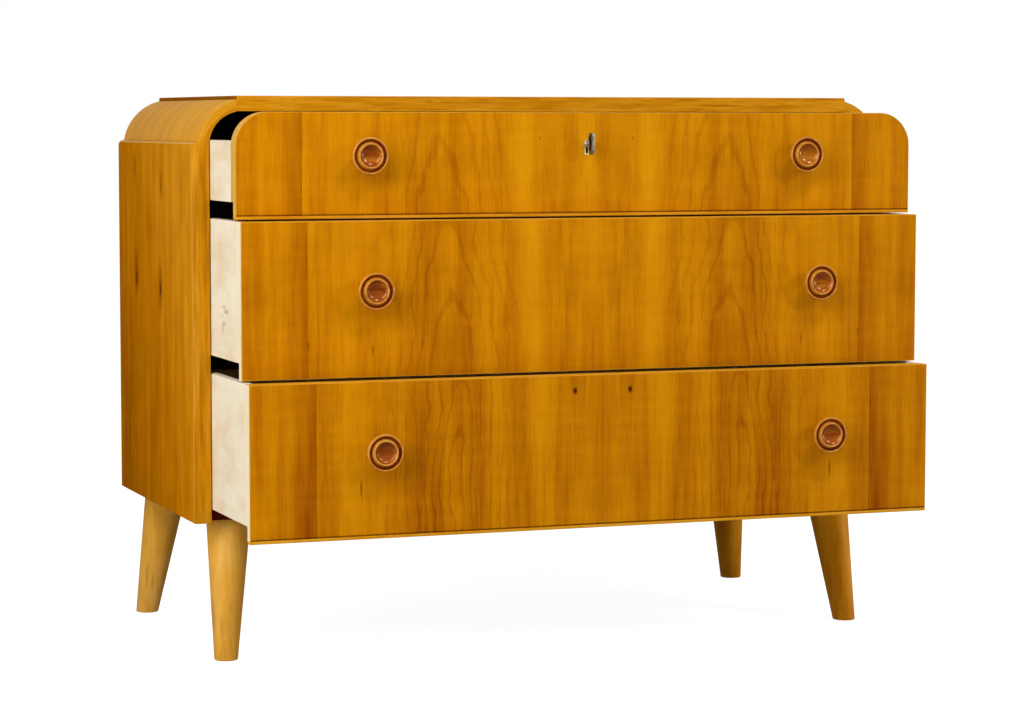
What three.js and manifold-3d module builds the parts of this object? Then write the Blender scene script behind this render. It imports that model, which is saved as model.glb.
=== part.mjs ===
// A commode chest: three wooden drawers in a case with rounded upper corners, on four
// splayed turned legs. The drawers stand part open, and a key sits in the top drawer's lock.
// Millimetres, +X to the right, +Y to the back, +Z up, the floor at Z = 0.

import * as THREE from 'three';
import { mergeVertices } from 'three/addons/utils/BufferGeometryUtils.js';
import Module from 'manifold-3d';

const wasm = await Module();
wasm.setup();

// Case
const caseWidth = 1000;
const caseDepth = 424;
const underCaseHeight = 184;
const sideThickness = 23;
const sideTopDrop = 60;
const sideProud = 7;
const sideArris = 3;
const sideTopRadius = 7.3;
const sideToeInnerRadius = 5;
const sideToeOuterRadius = 2;
const topThickness = 20;
const topPanelInset = 60;
const topProud = 3;
const topArris = 1.5;
const cornerOuterRadius = 69;
const cornerInnerRadius = 45;
const cornerArris = 1.2;
const bottomThickness = 16;
const backThickness = 6;
const rebateWidth = 8;
const rebateDepth = 7;

// Frames between the drawers, and the battens over the top drawer
const frameThickness = 20;
const railWidth = 60;
const runnerWidth = 40;
const tongueThickness = 6;
const tongueLength = 8;
const housingDepth = 6;
const kickerWidth = 24;
const kickerHeight = 16;
const kickerClearance = 1;

// Legs and their bolts
const legTopRadius = 29.8;
const legFootRadius = 15.6;
const legSideInset = 59;
const legFrontInset = 51;
const legBackInset = 30;
const frontSplayOut = 14;
const frontSplayForward = 36;
const backSplayOut = 24;
const backSplayBack = 28;
const legBoltRadius = 4;
const legBoltHeadRadius = 8;
const legBoltHeadHeight = 5;
const legBoltGrip = 40;
const legBoltSocketWidth = 6;
const legBoltSocketDepth = 3;
const boltHoleClearance = 0.3;

// Drawer fronts, from the top drawer down
const topFrontHeight = 136;
const middleFrontHeight = 200;
const bottomFrontHeight = 200.5;
const bottomFrontHang = 3.5;
const frontReveal = 2;
const topReveal = 1;
const frontEndClearance = 1.5;
const frontThickness = 22;
const frontLipThickness = 12;
const frontLipHeight = 22;
const frontArris = 1;

// Drawer boxes
const boxSideThickness = 12;
const boxBackThickness = 12;
const boxBackDrop = 8;
const boxBackSetIn = 8;
const boxBottomThickness = 4;
const boxBottomRise = 8;
const boxArris = 1.5;
const grooveDepth = 6;
const dadoDepth = 5;
const sideTenonThickness = 6;
const sideTenonLength = 7;
const sideTenonInset = 3;
const topBoxSideDrop = 36.5;
const drawerBackClearance = 12;

// How far each drawer stands open
const topOpened = 124.5;
const middleOpened = 148.3;
const bottomOpened = 183.3;

// Knobs and their screws
const knobRadius = 24.2;
const knobProjection = 25;
const knobBaseRadius = 12;
const knobNeckRadius = 9.5;
const knobDishDepth = 5;
const knobLeftInset = 171.5;
const topKnobRightInset = 165;
const middleKnobRightInset = 153.5;
const bottomKnobRightInset = 155.5;
const topKnobHeight = 80;
const middleKnobHeight = 111;
const bottomKnobHeight = 111.5;
const screwRadius = 2;
const screwHeadRadius = 5;
const screwHeadHeight = 2.5;
const screwBite = 14;
const screwPoint = 2;
const screwHoleClearance = 0.3;

// Lock, keyhole and key of the top drawer
const keyAxisDrop = 40.9;
const keyholeRadius = 3.2;
const keyholeSlotWidth = 3;
const keyholeDrop = 12.7;
const escutcheonWall = 1.9;
const escutcheonDepth = 6;
const escutcheonProud = 0.4;
const lockPlateWidth = 66;
const lockPlateHeight = 61;
const lockPlateThickness = 1.8;
const lockBodyWidth = 50;
const lockBodyDepth = 10;
const lockWall = 1.5;
const selvedgeThickness = 2;
const boltWidth = 24;
const boltHeadHeight = 21;
const boltTailWidth = 40;
const boltSlack = 0.5;
const boltThrow = 8;
const strikeClearance = 1.5;
const strikeSpareDepth = 2;
const keyStemRadius = 2.6;
const keyCollarRadius = 4.2;
const keyCollarStart = 3;
const keyCollarLength = 2.5;
const keyBowStart = 9;
const keyBowLength = 15.5;
const keyBowHeight = 29.5;
const keyBowThickness = 2.6;
const keyBowRim = 3.5;
const keyBitReach = 10.5;
const keyBitThickness = 2.4;
const keyWardWidth = 1.2;
const keyWardDepth = 4;
const keySlack = 0.4;

// Gaps between pieces, and how fine a curve is
const jointGap = 0.2;
const runGap = 0.3;
const stopGap = 0.3;
const overrun = 20;
const chordTolerance = 0.16;
const leastArcSteps = 2;

// Levels and planes that the pieces share
const frontFace = -caseDepth / 2;
const backFace = caseDepth / 2;
const bottomFrontBase = underCaseHeight - bottomFrontHang;
const middleFrontBase = bottomFrontBase + bottomFrontHeight + frontReveal;
const topFrontBase = middleFrontBase + middleFrontHeight + frontReveal;
const openingTop = topFrontBase + topFrontHeight + topReveal;
const topFace = openingTop + topThickness;
const openingHalf = caseWidth / 2 - sideThickness;
const sideTop = topFace - sideTopDrop;
const topPanelHalf = caseWidth / 2 - topPanelInset;
const frontBack = frontFace + frontThickness;
const railFront = frontFace + frontLipThickness + stopGap;
const backPanelFront = backFace - rebateDepth;
const boxBackEnd = backPanelFront - drawerBackClearance;
const boxHalf = openingHalf - frontEndClearance;
const bottomPanelTop = bottomFrontBase + frontLipHeight - runGap;
const bottomPanelBase = bottomPanelTop - bottomThickness;
const topBoxSideTop = topFrontBase + topFrontHeight - topBoxSideDrop;
const keyAxis = topFrontBase + topFrontHeight - keyAxisDrop;

// Finishes, one new material for each piece
const finishes = {
  elmVeneer: { color: '#c88a12', roughness: 0.42, metalness: 0 },
  elmMoulding: { color: '#c8902a', roughness: 0.42, metalness: 0 },
  beech: { color: '#d2a04a', roughness: 0.45, metalness: 0 },
  birch: { color: '#eaddc0', roughness: 0.7, metalness: 0 },
  plywood: { color: '#d9c49a', roughness: 0.75, metalness: 0 },
  stainedPine: { color: '#4a1f14', roughness: 0.8, metalness: 0 },
  stainedBirch: { color: '#8a3c12', roughness: 0.3, metalness: 0 },
  brass: { color: '#dccf9a', roughness: 0.35, metalness: 1 },
  steel: { color: '#8d8f92', roughness: 0.4, metalness: 1 },
};

function finish(name) {
  return new THREE.MeshStandardMaterial(finishes[name]);
}

// Outlines: corners are [across, up, radius], and a radius rounds the corner with an arc.

function arcSteps(radius, sweep) {
  const step = 2 * Math.acos(1 - Math.min(1, chordTolerance / radius));
  return Math.max(leastArcSteps, Math.ceil(Math.abs(sweep) / step));
}

function arcPoints(centre, radius, from, to) {
  const steps = arcSteps(radius, to - from);
  const points = [];
  for (let i = 0; i <= steps; i += 1) {
    const angle = from + ((to - from) * i) / steps;
    points.push(new THREE.Vector2(
      centre.x + radius * Math.cos(angle),
      centre.y + radius * Math.sin(angle),
    ));
  }
  return points;
}

function roundedCorner(before, corner, after, radius) {
  const inward = before.clone().sub(corner).normalize();
  const outward = after.clone().sub(corner).normalize();
  const half = Math.acos(THREE.MathUtils.clamp(inward.dot(outward), -1, 1)) / 2;
  const bisector = inward.clone().add(outward).normalize();
  const centre = corner.clone().addScaledVector(bisector, radius / Math.sin(half));
  const start = corner.clone().addScaledVector(inward, radius / Math.tan(half)).sub(centre);
  const end = corner.clone().addScaledVector(outward, radius / Math.tan(half)).sub(centre);
  const from = start.angle();
  const turn = Math.atan2(start.cross(end), start.dot(end));
  return arcPoints(centre, radius, from, from + turn);
}

function outline(corners) {
  const points = corners.map(([across, up]) => new THREE.Vector2(across, up));
  const traced = points.flatMap((corner, i) => {
    const radius = corners[i][2] ?? 0;
    if (radius === 0) {
      return [corner];
    }
    const before = points[(i + points.length - 1) % points.length];
    const after = points[(i + 1) % points.length];
    return roundedCorner(before, corner, after, radius);
  });
  return new THREE.Shape(traced);
}

// Solids

function toSolid(geometry) {
  const bare = geometry.clone();
  bare.deleteAttribute('normal');
  bare.deleteAttribute('uv');
  const merged = mergeVertices(bare);
  const position = merged.attributes.position;
  const corners = [];
  let volume = 0;
  for (let i = 0; i < merged.index.count; i += 3) {
    const [a, b, c] = [0, 1, 2].map((k) => merged.index.getX(i + k));
    if (a !== b && b !== c && c !== a) {
      corners.push(a, b, c);
      const [p, q, r] = [a, b, c].map((k) => new THREE.Vector3().fromBufferAttribute(position, k));
      volume += p.dot(q.cross(r));
    }
  }
  // A revolved profile may run either way, so an inside-out skin is turned round.
  const triVerts = new Uint32Array(volume < 0 ? corners.reverse() : corners);
  const vertProperties = new Float32Array(position.array);
  return new wasm.Manifold(new wasm.Mesh({ numProp: 3, vertProperties, triVerts }));
}

function piece(name, solid, material) {
  const skin = solid.getMesh();
  const geometry = new THREE.BufferGeometry();
  geometry.setAttribute('position', new THREE.BufferAttribute(skin.vertProperties, skin.numProp));
  geometry.setIndex(new THREE.BufferAttribute(skin.triVerts, 1));
  const mesh = new THREE.Mesh(geometry.toNonIndexed(), material);
  mesh.geometry.computeVertexNormals();
  mesh.name = name;
  return mesh;
}

function extrude(shape, from, to, basis, arris = 0) {
  const geometry = new THREE.ExtrudeGeometry(shape, {
    depth: to - from - 2 * arris,
    steps: 1,
    bevelEnabled: arris > 0,
    bevelThickness: arris,
    bevelSize: arris,
    bevelOffset: -arris,
    bevelSegments: 2,
  });
  geometry.translate(0, 0, from + arris);
  geometry.applyMatrix4(basis);
  return toSolid(geometry);
}

const up = new THREE.Vector3(0, 0, 1);
const right = new THREE.Vector3(1, 0, 0);
const back = new THREE.Vector3(0, 1, 0);
const front = new THREE.Vector3(0, -1, 0);
const frontOutlineBasis = new THREE.Matrix4().makeBasis(right, up, front);
const sideOutlineBasis = new THREE.Matrix4().makeBasis(back, up, right);

// An outline in X and Z, carried from one Y to another
function alongDepth(shape, from, to, arris) {
  return extrude(shape, -to, -from, frontOutlineBasis, arris);
}

// An outline in Y and Z, carried from one X to another
function alongWidth(shape, from, to) {
  return extrude(shape, from, to, sideOutlineBasis);
}

// An outline in X and Y, carried from one Z to another
function alongHeight(shape, from, to) {
  return extrude(shape, from, to, new THREE.Matrix4());
}

function block([x0, x1], [y0, y1], [z0, z1]) {
  const geometry = new THREE.BoxGeometry(x1 - x0, y1 - y0, z1 - z0);
  geometry.translate((x0 + x1) / 2, (y0 + y1) / 2, (z0 + z1) / 2);
  return toSolid(geometry);
}

// A profile of [radius, distance] turned about the Y axis through a point in X and Z
function turned(profile, x, z, widest) {
  const points = profile.map(([radius, distance]) => new THREE.Vector2(radius, distance));
  const geometry = new THREE.LatheGeometry(points, arcSteps(widest, 2 * Math.PI));
  geometry.translate(x, 0, z);
  return toSolid(geometry);
}

function rod(radius, from, to, x, z) {
  return turned([[0, from], [radius, from], [radius, to], [0, to]], x, z, radius);
}

// The same rod standing up, with its axis through a point in X and Y
function uprightRod(radius, from, to, x, y) {
  const geometry = new THREE.CylinderGeometry(radius, radius, to - from, arcSteps(radius, 2 * Math.PI));
  geometry.rotateX(Math.PI / 2);
  geometry.translate(x, y, (from + to) / 2);
  return toSolid(geometry);
}

const mirrored = (solid) => solid.mirror([1, 0, 0]);
const sides = [{ word: 'left', sign: -1 }, { word: 'right', sign: 1 }];

function onSide(solid, sign) {
  return sign < 0 ? mirrored(solid) : solid;
}

// The inside outline of the case, grown by a margin: square below, rounded above
function openingOutline(margin, base) {
  const half = openingHalf + margin;
  const crown = openingTop + margin;
  const radius = cornerInnerRadius + margin;
  return outline([[-half, base], [half, base], [half, crown, radius], [-half, crown, radius]]);
}

// The rebate that the back panel lies in, cut from every board around it
function backRebate() {
  const base = bottomPanelTop - rebateWidth;
  return alongDepth(openingOutline(rebateWidth, base), backPanelFront, backFace + overrun);
}

function frameLevels(frontBase) {
  const top = frontBase + frontLipHeight - runGap;
  return { top, base: top - frameThickness };
}

// Case boards

function casePanelSides() {
  const outer = caseWidth / 2;
  const face = outline([
    [openingHalf, underCaseHeight, sideToeInnerRadius],
    [outer, underCaseHeight, sideToeOuterRadius],
    [outer, sideTop, sideTopRadius],
    [openingHalf, sideTop],
  ]);
  const plan = outline([
    [openingHalf, frontFace],
    [outer, frontFace, sideArris],
    [outer, backFace],
    [openingHalf, backFace],
  ]);
  const housing = ({ base, top }) => block(
    [openingHalf - overrun, openingHalf + housingDepth + jointGap],
    [railFront - jointGap, backPanelFront + overrun],
    [base - jointGap, top + jointGap],
  );
  const bottomLevels = { base: bottomPanelBase, top: bottomPanelTop };
  const side = alongDepth(face, frontFace, backFace)
    .intersect(alongHeight(plan, underCaseHeight, sideTop))
    .subtract(housing(frameLevels(topFrontBase)))
    .subtract(housing(frameLevels(middleFrontBase)))
    .subtract(housing(bottomLevels))
    .subtract(backRebate());
  return sides.map(({ word, sign }) => (
    piece(`side_${word}`, onSide(side, sign), finish('elmVeneer'))
  ));
}

// The curved moulding that carries the side's line over into the top
function cornerMouldings() {
  const centreX = caseWidth / 2 - sideProud - cornerOuterRadius;
  const centreZ = topFace - topProud - cornerOuterRadius;
  const bullnose = arcPoints(
    new THREE.Vector2(cornerOuterRadius - cornerArris, frontFace + cornerArris),
    cornerArris, -Math.PI / 2, 0,
  ).map((point) => [point.x, point.y]);
  const roller = turned(
    [[0, frontFace], ...bullnose, [cornerOuterRadius, backFace], [0, backFace]],
    centreX, centreZ, cornerOuterRadius,
  );
  const quarter = block(
    [topPanelHalf + jointGap, caseWidth / 2],
    [frontFace, backFace],
    [sideTop + jointGap, topFace],
  );
  const moulding = roller.intersect(quarter)
    .subtract(alongDepth(openingOutline(0, underCaseHeight), frontFace - overrun, backFace + overrun))
    .subtract(backRebate());
  return sides.map(({ word, sign }) => (
    piece(`corner_${word}`, onSide(moulding, sign), finish('elmMoulding'))
  ));
}

function topPanel() {
  const face = outline([
    [-topPanelHalf, openingTop],
    [topPanelHalf, openingTop],
    [topPanelHalf, topFace, topArris],
    [-topPanelHalf, topFace, topArris],
  ]);
  const section = outline([
    [frontFace, openingTop],
    [backFace, openingTop],
    [backFace, topFace],
    [frontFace, topFace, topArris],
  ]);
  const bolt = boltPlaces();
  const strike = block(
    [-boltWidth / 2 - strikeClearance, boltWidth / 2 + strikeClearance],
    [bolt.front - strikeClearance, bolt.back + strikeClearance],
    [openingTop - overrun, openingTop + boltThrow + strikeSpareDepth],
  );
  const panel = alongDepth(face, frontFace, backFace)
    .intersect(alongWidth(section, -topPanelHalf, topPanelHalf))
    .subtract(strike)
    .subtract(backRebate());
  return piece('top_panel', panel, finish('elmVeneer'));
}

function bottomPanel() {
  const half = openingHalf + housingDepth;
  let panel = block([-half, half], [railFront, backFace], [bottomPanelBase, bottomPanelTop]);
  const tab = block(
    [openingHalf, half + overrun],
    [backPanelFront, backFace + overrun],
    [bottomPanelBase - overrun, bottomPanelTop + overrun],
  );
  panel = panel.subtract(tab).subtract(mirrored(tab)).subtract(backRebate());
  for (const leg of legPlaces()) {
    const { x, y } = leg.top;
    const shank = legBoltRadius + boltHoleClearance;
    const head = legBoltHeadRadius + boltHoleClearance;
    const seat = bottomPanelTop - legBoltHeadHeight - jointGap;
    panel = panel
      .subtract(uprightRod(shank, bottomPanelBase - overrun, bottomPanelTop + overrun, x, y))
      .subtract(uprightRod(head, seat, bottomPanelTop + overrun, x, y));
  }
  return piece('bottom_panel', panel, finish('stainedPine'));
}

function backPanel() {
  const base = bottomPanelTop - rebateWidth + jointGap;
  const panel = alongDepth(
    openingOutline(rebateWidth - jointGap, base),
    backPanelFront + jointGap,
    backPanelFront + jointGap + backThickness,
  );
  return piece('back_panel', panel, finish('plywood'));
}

// A frame of two rails and two runners, tongued together and housed in the sides
function drawerFrame(word, frontBase) {
  const { base, top } = frameLevels(frontBase);
  const half = openingHalf + housingDepth;
  const middle = (base + top) / 2;
  const grooveHalf = tongueThickness / 2 + jointGap;
  const frontRailBack = railFront + railWidth;
  const backRailFront = backPanelFront - jointGap - railWidth;
  const frontSection = outline([
    [railFront, base],
    [frontRailBack, base],
    [frontRailBack, middle - grooveHalf],
    [frontRailBack - tongueLength - jointGap, middle - grooveHalf],
    [frontRailBack - tongueLength - jointGap, middle + grooveHalf],
    [frontRailBack, middle + grooveHalf],
    [frontRailBack, top],
    [railFront, top],
  ]);
  const backSection = outline([
    [backRailFront, base],
    [backRailFront + railWidth, base],
    [backRailFront + railWidth, top],
    [backRailFront, top],
    [backRailFront, middle + grooveHalf],
    [backRailFront + tongueLength + jointGap, middle + grooveHalf],
    [backRailFront + tongueLength + jointGap, middle - grooveHalf],
    [backRailFront, middle - grooveHalf],
  ]);
  const runnerFront = frontRailBack + jointGap;
  const runnerBack = backRailFront - jointGap;
  const runner = block([openingHalf - runnerWidth, half], [runnerFront, runnerBack], [base, top])
    .add(block(
      [openingHalf - runnerWidth, half],
      [runnerFront - tongueLength, runnerBack + tongueLength],
      [middle - tongueThickness / 2, middle + tongueThickness / 2],
    ));
  return [
    piece(`${word}_frame_front_rail`, alongWidth(frontSection, -half, half), finish('stainedPine')),
    piece(`${word}_frame_back_rail`, alongWidth(backSection, -half, half), finish('stainedPine')),
    ...sides.map(({ word: end, sign }) => (
      piece(`${word}_frame_runner_${end}`, onSide(runner, sign), finish('stainedPine'))
    )),
  ];
}

// Battens over the top drawer's sides, which keep it from tipping as it is drawn out
function kickers() {
  const base = topBoxSideTop + kickerClearance;
  const batten = block(
    [openingHalf - kickerWidth, openingHalf],
    [frontBack + kickerClearance, backPanelFront - jointGap],
    [base, base + kickerHeight],
  ).intersect(alongDepth(openingOutline(-jointGap, underCaseHeight), frontFace, backFace));
  return sides.map(({ word, sign }) => (
    piece(`kicker_${word}`, onSide(batten, sign), finish('stainedPine'))
  ));
}

// Legs

function legPlaces() {
  const topX = caseWidth / 2 - legSideInset;
  const rows = [
    { row: 'front', y: frontFace + legFrontInset, out: frontSplayOut, along: -frontSplayForward },
    { row: 'back', y: backFace - legBackInset, out: backSplayOut, along: backSplayBack },
  ];
  return rows.flatMap(({ row, y, out, along }) => sides.map(({ word, sign }) => ({
    name: `${row}_${word}`,
    top: new THREE.Vector3(sign * topX, y, bottomPanelBase),
    foot: new THREE.Vector3(sign * (topX + out), y + along, 0),
  })));
}

// A tapered leg on a slanting axis, cut level under the case and at the floor
function leg({ name, top, foot }) {
  const axis = top.clone().sub(foot);
  const length = axis.length();
  const taper = (legTopRadius - legFootRadius) / length;
  const radiusAt = (distance) => legFootRadius + taper * distance;
  const profile = [
    [0, -overrun],
    [radiusAt(-overrun), -overrun],
    [radiusAt(length + overrun), length + overrun],
    [0, length + overrun],
  ];
  const points = profile.map(([radius, distance]) => new THREE.Vector2(radius, distance));
  const geometry = new THREE.LatheGeometry(points, arcSteps(legTopRadius, 2 * Math.PI));
  const turn = new THREE.Quaternion().setFromUnitVectors(back, axis.normalize());
  geometry.applyQuaternion(turn);
  geometry.translate(foot.x, foot.y, foot.z);
  const reach = legTopRadius + overrun;
  const spanX = [Math.min(top.x, foot.x) - reach, Math.max(top.x, foot.x) + reach];
  const spanY = [Math.min(top.y, foot.y) - reach, Math.max(top.y, foot.y) + reach];
  const bore = uprightRod(
    legBoltRadius + boltHoleClearance,
    top.z - legBoltGrip - jointGap, top.z + overrun,
    top.x, top.y,
  );
  const body = toSolid(geometry)
    .intersect(block(spanX, spanY, [0, top.z - jointGap]))
    .subtract(bore);
  return piece(`leg_${name}`, body, finish('beech'));
}

function legBolt({ name, top }) {
  const headTop = bottomPanelTop - jointGap;
  const headBase = headTop - legBoltHeadHeight;
  const tip = top.z - legBoltGrip;
  const socket = new THREE.CylinderGeometry(
    legBoltSocketWidth / Math.sqrt(3), legBoltSocketWidth / Math.sqrt(3), legBoltSocketDepth * 2, 6,
  );
  socket.rotateX(Math.PI / 2);
  socket.translate(top.x, top.y, headTop);
  const bolt = uprightRod(legBoltRadius, tip, headTop, top.x, top.y)
    .add(uprightRod(legBoltHeadRadius, headBase, headTop, top.x, top.y))
    .subtract(toSolid(socket));
  return piece(`leg_bolt_${name}`, bolt, finish('steel'));
}

// Drawers. Each is built shut, and its group is then drawn out.

function frontBoard(drawer) {
  const { base, height, rounded } = drawer;
  const top = base + height;
  const crown = rounded ? cornerInnerRadius - topReveal : 0;
  const face = outline([
    [-boxHalf, base],
    [boxHalf, base],
    [boxHalf, top, crown],
    [-boxHalf, top, crown],
  ]);
  const boxBase = base + frontLipHeight;
  const lipRebate = block(
    [-boxHalf - overrun, boxHalf + overrun],
    [frontFace + frontLipThickness, frontBack + overrun],
    [base - overrun, boxBase],
  );
  const bottomGroove = block(
    [-boxHalf + boxSideThickness - grooveDepth, boxHalf - boxSideThickness + grooveDepth],
    [frontBack - grooveDepth - jointGap, frontBack + overrun],
    [boxBase + boxBottomRise - jointGap, boxBase + boxBottomRise + boxBottomThickness + jointGap],
  );
  const tenonOuter = boxHalf - sideTenonInset;
  const mortise = block(
    [tenonOuter - sideTenonThickness - jointGap, tenonOuter + jointGap],
    [frontBack - sideTenonLength - jointGap, frontBack + overrun],
    [boxBase - overrun, drawer.sideTop - sideTenonInset + jointGap],
  );
  let board = alongDepth(face, frontFace, frontBack, frontArris)
    .subtract(lipRebate)
    .subtract(bottomGroove)
    .subtract(mortise)
    .subtract(mirrored(mortise));
  for (const knob of knobPlaces(drawer)) {
    const hole = screwRadius + screwHoleClearance;
    board = board.subtract(rod(hole, frontFace - overrun, frontBack + overrun, knob.x, knob.z));
  }
  return drawer.locked ? board.subtract(lockRecess()) : board;
}

// A side board: grooved for the bottom, housed for the back, with a tenon into the front
function sideBoard({ base, sideTop: top }) {
  const boxBase = base + frontLipHeight;
  const inner = boxHalf - boxSideThickness;
  const grooveBase = boxBase + boxBottomRise - jointGap;
  const grooveTop = boxBase + boxBottomRise + boxBottomThickness + jointGap;
  const section = outline([
    [inner, boxBase],
    [boxHalf, boxBase],
    [boxHalf, top, boxArris],
    [inner, top, boxArris],
    [inner, grooveTop],
    [inner + grooveDepth + jointGap, grooveTop],
    [inner + grooveDepth + jointGap, grooveBase],
    [inner, grooveBase],
  ]);
  const backSpan = boxBackSpan();
  const dado = block(
    [inner - overrun, inner + dadoDepth + jointGap],
    [backSpan[0] - jointGap, backSpan[1] + jointGap],
    [grooveTop - jointGap, top + overrun],
  );
  const tenonOuter = boxHalf - sideTenonInset;
  const tenon = block(
    [tenonOuter - sideTenonThickness, tenonOuter],
    [frontBack - sideTenonLength, frontBack + sideTenonLength],
    [grooveTop, top - sideTenonInset],
  );
  return alongDepth(section, frontBack + jointGap, boxBackEnd).subtract(dado).add(tenon);
}

function boxBackSpan() {
  const rear = boxBackEnd - boxBackSetIn;
  return [rear - boxBackThickness, rear];
}

function boxBoards(drawer) {
  const { word, base, sideTop: top } = drawer;
  const boxBase = base + frontLipHeight;
  const inner = boxHalf - boxSideThickness;
  const bottomBase = boxBase + boxBottomRise;
  const bottomTop = bottomBase + boxBottomThickness;
  const bottom = block(
    [-inner - grooveDepth, inner + grooveDepth],
    [frontBack - grooveDepth, boxBackSpan()[1]],
    [bottomBase, bottomTop],
  );
  const rear = block(
    [-inner - dadoDepth, inner + dadoDepth],
    boxBackSpan(),
    [bottomTop + jointGap * 2, top - boxBackDrop],
  );
  const board = sideBoard(drawer);
  return [
    ...sides.map(({ word: end, sign }) => (
      piece(`${word}_drawer_side_${end}`, onSide(board, sign), finish('birch'))
    )),
    piece(`${word}_drawer_back`, rear, finish('birch')),
    piece(`${word}_drawer_bottom`, bottom, finish('plywood')),
  ];
}

function knobPlaces({ base, knobHeight, knobRightInset }) {
  return [
    { end: 'left', x: -boxHalf + knobLeftInset, z: base + knobHeight },
    { end: 'right', x: boxHalf - knobRightInset, z: base + knobHeight },
  ];
}

// Shares of the knob's radius and projection, from the flare to the middle of the dish
const knobFlareShares = [[0.6, 0.36], [0.9, 0.58], [1, 0.76], [0.985, 0.87]];
const knobRimShares = [[0.91, 0.92], [0.84, 0.86]];
const knobBeadShares = [[0.77, 0.96], [0.715, 1], [0.66, 0.97]];
const knobDishShares = [[0.58, 0.45], [0.36, 0.85]];

function knob({ word }, { end, x, z }) {
  const seat = frontFace - jointGap;
  const bore = screwRadius + screwHoleClearance;
  const turnedShares = [...knobFlareShares, ...knobRimShares, ...knobBeadShares];
  const face = turnedShares.map(([radius, along]) => (
    [radius * knobRadius, seat - along * knobProjection]
  ));
  const dish = knobDishShares.map(([radius, depth]) => (
    [radius * knobRadius, seat - knobProjection + depth * knobDishDepth]
  ));
  const neckPlace = (knobProjection * knobNeckRadius) / (knobBaseRadius + knobRadius);
  const profile = [
    [0, frontFace - screwBite - jointGap],
    [bore, frontFace - screwBite - jointGap],
    [bore, seat],
    [knobBaseRadius, seat],
    [knobNeckRadius, seat - neckPlace / 2],
    [knobNeckRadius, seat - neckPlace],
    ...face,
    ...dish,
    [0, seat - knobProjection + knobDishDepth],
  ];
  const body = turned(profile, x, z, knobRadius);
  return piece(`${word}_drawer_knob_${end}`, body, finish('stainedBirch'));
}

function knobScrew({ word }, { end, x, z }) {
  const seat = frontBack + jointGap;
  const tip = frontFace - screwBite;
  const body = turned([
    [0, tip],
    [screwRadius, tip + screwPoint],
    [screwRadius, seat],
    [screwHeadRadius, seat],
    [screwHeadRadius, seat + screwHeadHeight / 2],
    [screwHeadRadius / 2, seat + screwHeadHeight],
    [0, seat + screwHeadHeight],
  ], x, z, screwHeadRadius);
  return piece(`${word}_drawer_knob_screw_${end}`, body, finish('steel'));
}

// Lock of the top drawer

function keyholeOutline(margin) {
  const radius = keyholeRadius + margin;
  const half = keyholeSlotWidth / 2 + margin;
  const spread = Math.asin(half / radius);
  const centre = new THREE.Vector2(0, keyAxis);
  const round = arcPoints(centre, radius, spread - Math.PI / 2, (3 * Math.PI) / 2 - spread);
  const foot = keyAxis - keyholeDrop - margin;
  return new THREE.Shape([...round, new THREE.Vector2(-half, foot), new THREE.Vector2(half, foot)]);
}

function lockLevels() {
  const top = topFrontBase + topFrontHeight;
  return { top, base: keyAxis - keyBitReach - keySlack - lockWall - boltSlack };
}

function boltPlaces() {
  return {
    front: frontBack - lockBodyDepth + lockWall + boltSlack,
    back: frontBack - lockPlateThickness - boltSlack,
  };
}

// What is cut from the front board for the lock, its plate, the keyhole and the escutcheon
function lockRecess() {
  const { top, base } = lockLevels();
  const body = block(
    [-lockBodyWidth / 2 - jointGap, lockBodyWidth / 2 + jointGap],
    [frontBack - lockBodyDepth - jointGap, frontBack + overrun],
    [base - jointGap, top + overrun],
  );
  const plate = block(
    [-lockPlateWidth / 2 - jointGap, lockPlateWidth / 2 + jointGap],
    [frontBack - lockPlateThickness - jointGap, frontBack + overrun],
    [top - lockPlateHeight - jointGap, top + overrun],
  );
  const selvedge = block(
    [-lockPlateWidth / 2 - jointGap, lockPlateWidth / 2 + jointGap],
    [frontBack - lockBodyDepth - jointGap, frontBack + overrun],
    [top - selvedgeThickness - jointGap, top + overrun],
  );
  const through = alongDepth(keyholeOutline(jointGap), frontFace - overrun, frontBack + overrun);
  const inlay = alongDepth(
    keyholeOutline(escutcheonWall + jointGap),
    frontFace - overrun,
    frontFace - escutcheonProud + escutcheonDepth + jointGap,
  );
  return body.add(plate).add(selvedge).add(through).add(inlay);
}

function lockCase() {
  const { top, base } = lockLevels();
  const plate = block(
    [-lockPlateWidth / 2, lockPlateWidth / 2],
    [frontBack - lockPlateThickness, frontBack],
    [top - lockPlateHeight, top],
  );
  const selvedge = block(
    [-lockPlateWidth / 2, lockPlateWidth / 2],
    [frontBack - lockBodyDepth, frontBack],
    [top - selvedgeThickness, top],
  );
  const body = block(
    [-lockBodyWidth / 2, lockBodyWidth / 2],
    [frontBack - lockBodyDepth, frontBack],
    [base, top],
  );
  const chamber = block(
    [-lockBodyWidth / 2 + lockWall, lockBodyWidth / 2 - lockWall],
    [frontBack - lockBodyDepth + lockWall, frontBack - lockPlateThickness],
    [base + lockWall, top - selvedgeThickness],
  );
  const bolt = boltPlaces();
  const boltSlot = block(
    [-boltWidth / 2 - boltSlack, boltWidth / 2 + boltSlack],
    [bolt.front - boltSlack / 2, bolt.back + boltSlack / 2],
    [top - selvedgeThickness - overrun / 2, top + overrun],
  );
  const keyhole = alongDepth(
    keyholeOutline(jointGap),
    frontBack - lockBodyDepth - overrun,
    frontBack - lockBodyDepth + lockWall + boltSlack,
  );
  const shell = plate.add(selvedge).add(body).subtract(chamber).subtract(boltSlot).subtract(keyhole);
  return piece('lock_case', shell, finish('brass'));
}

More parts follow.
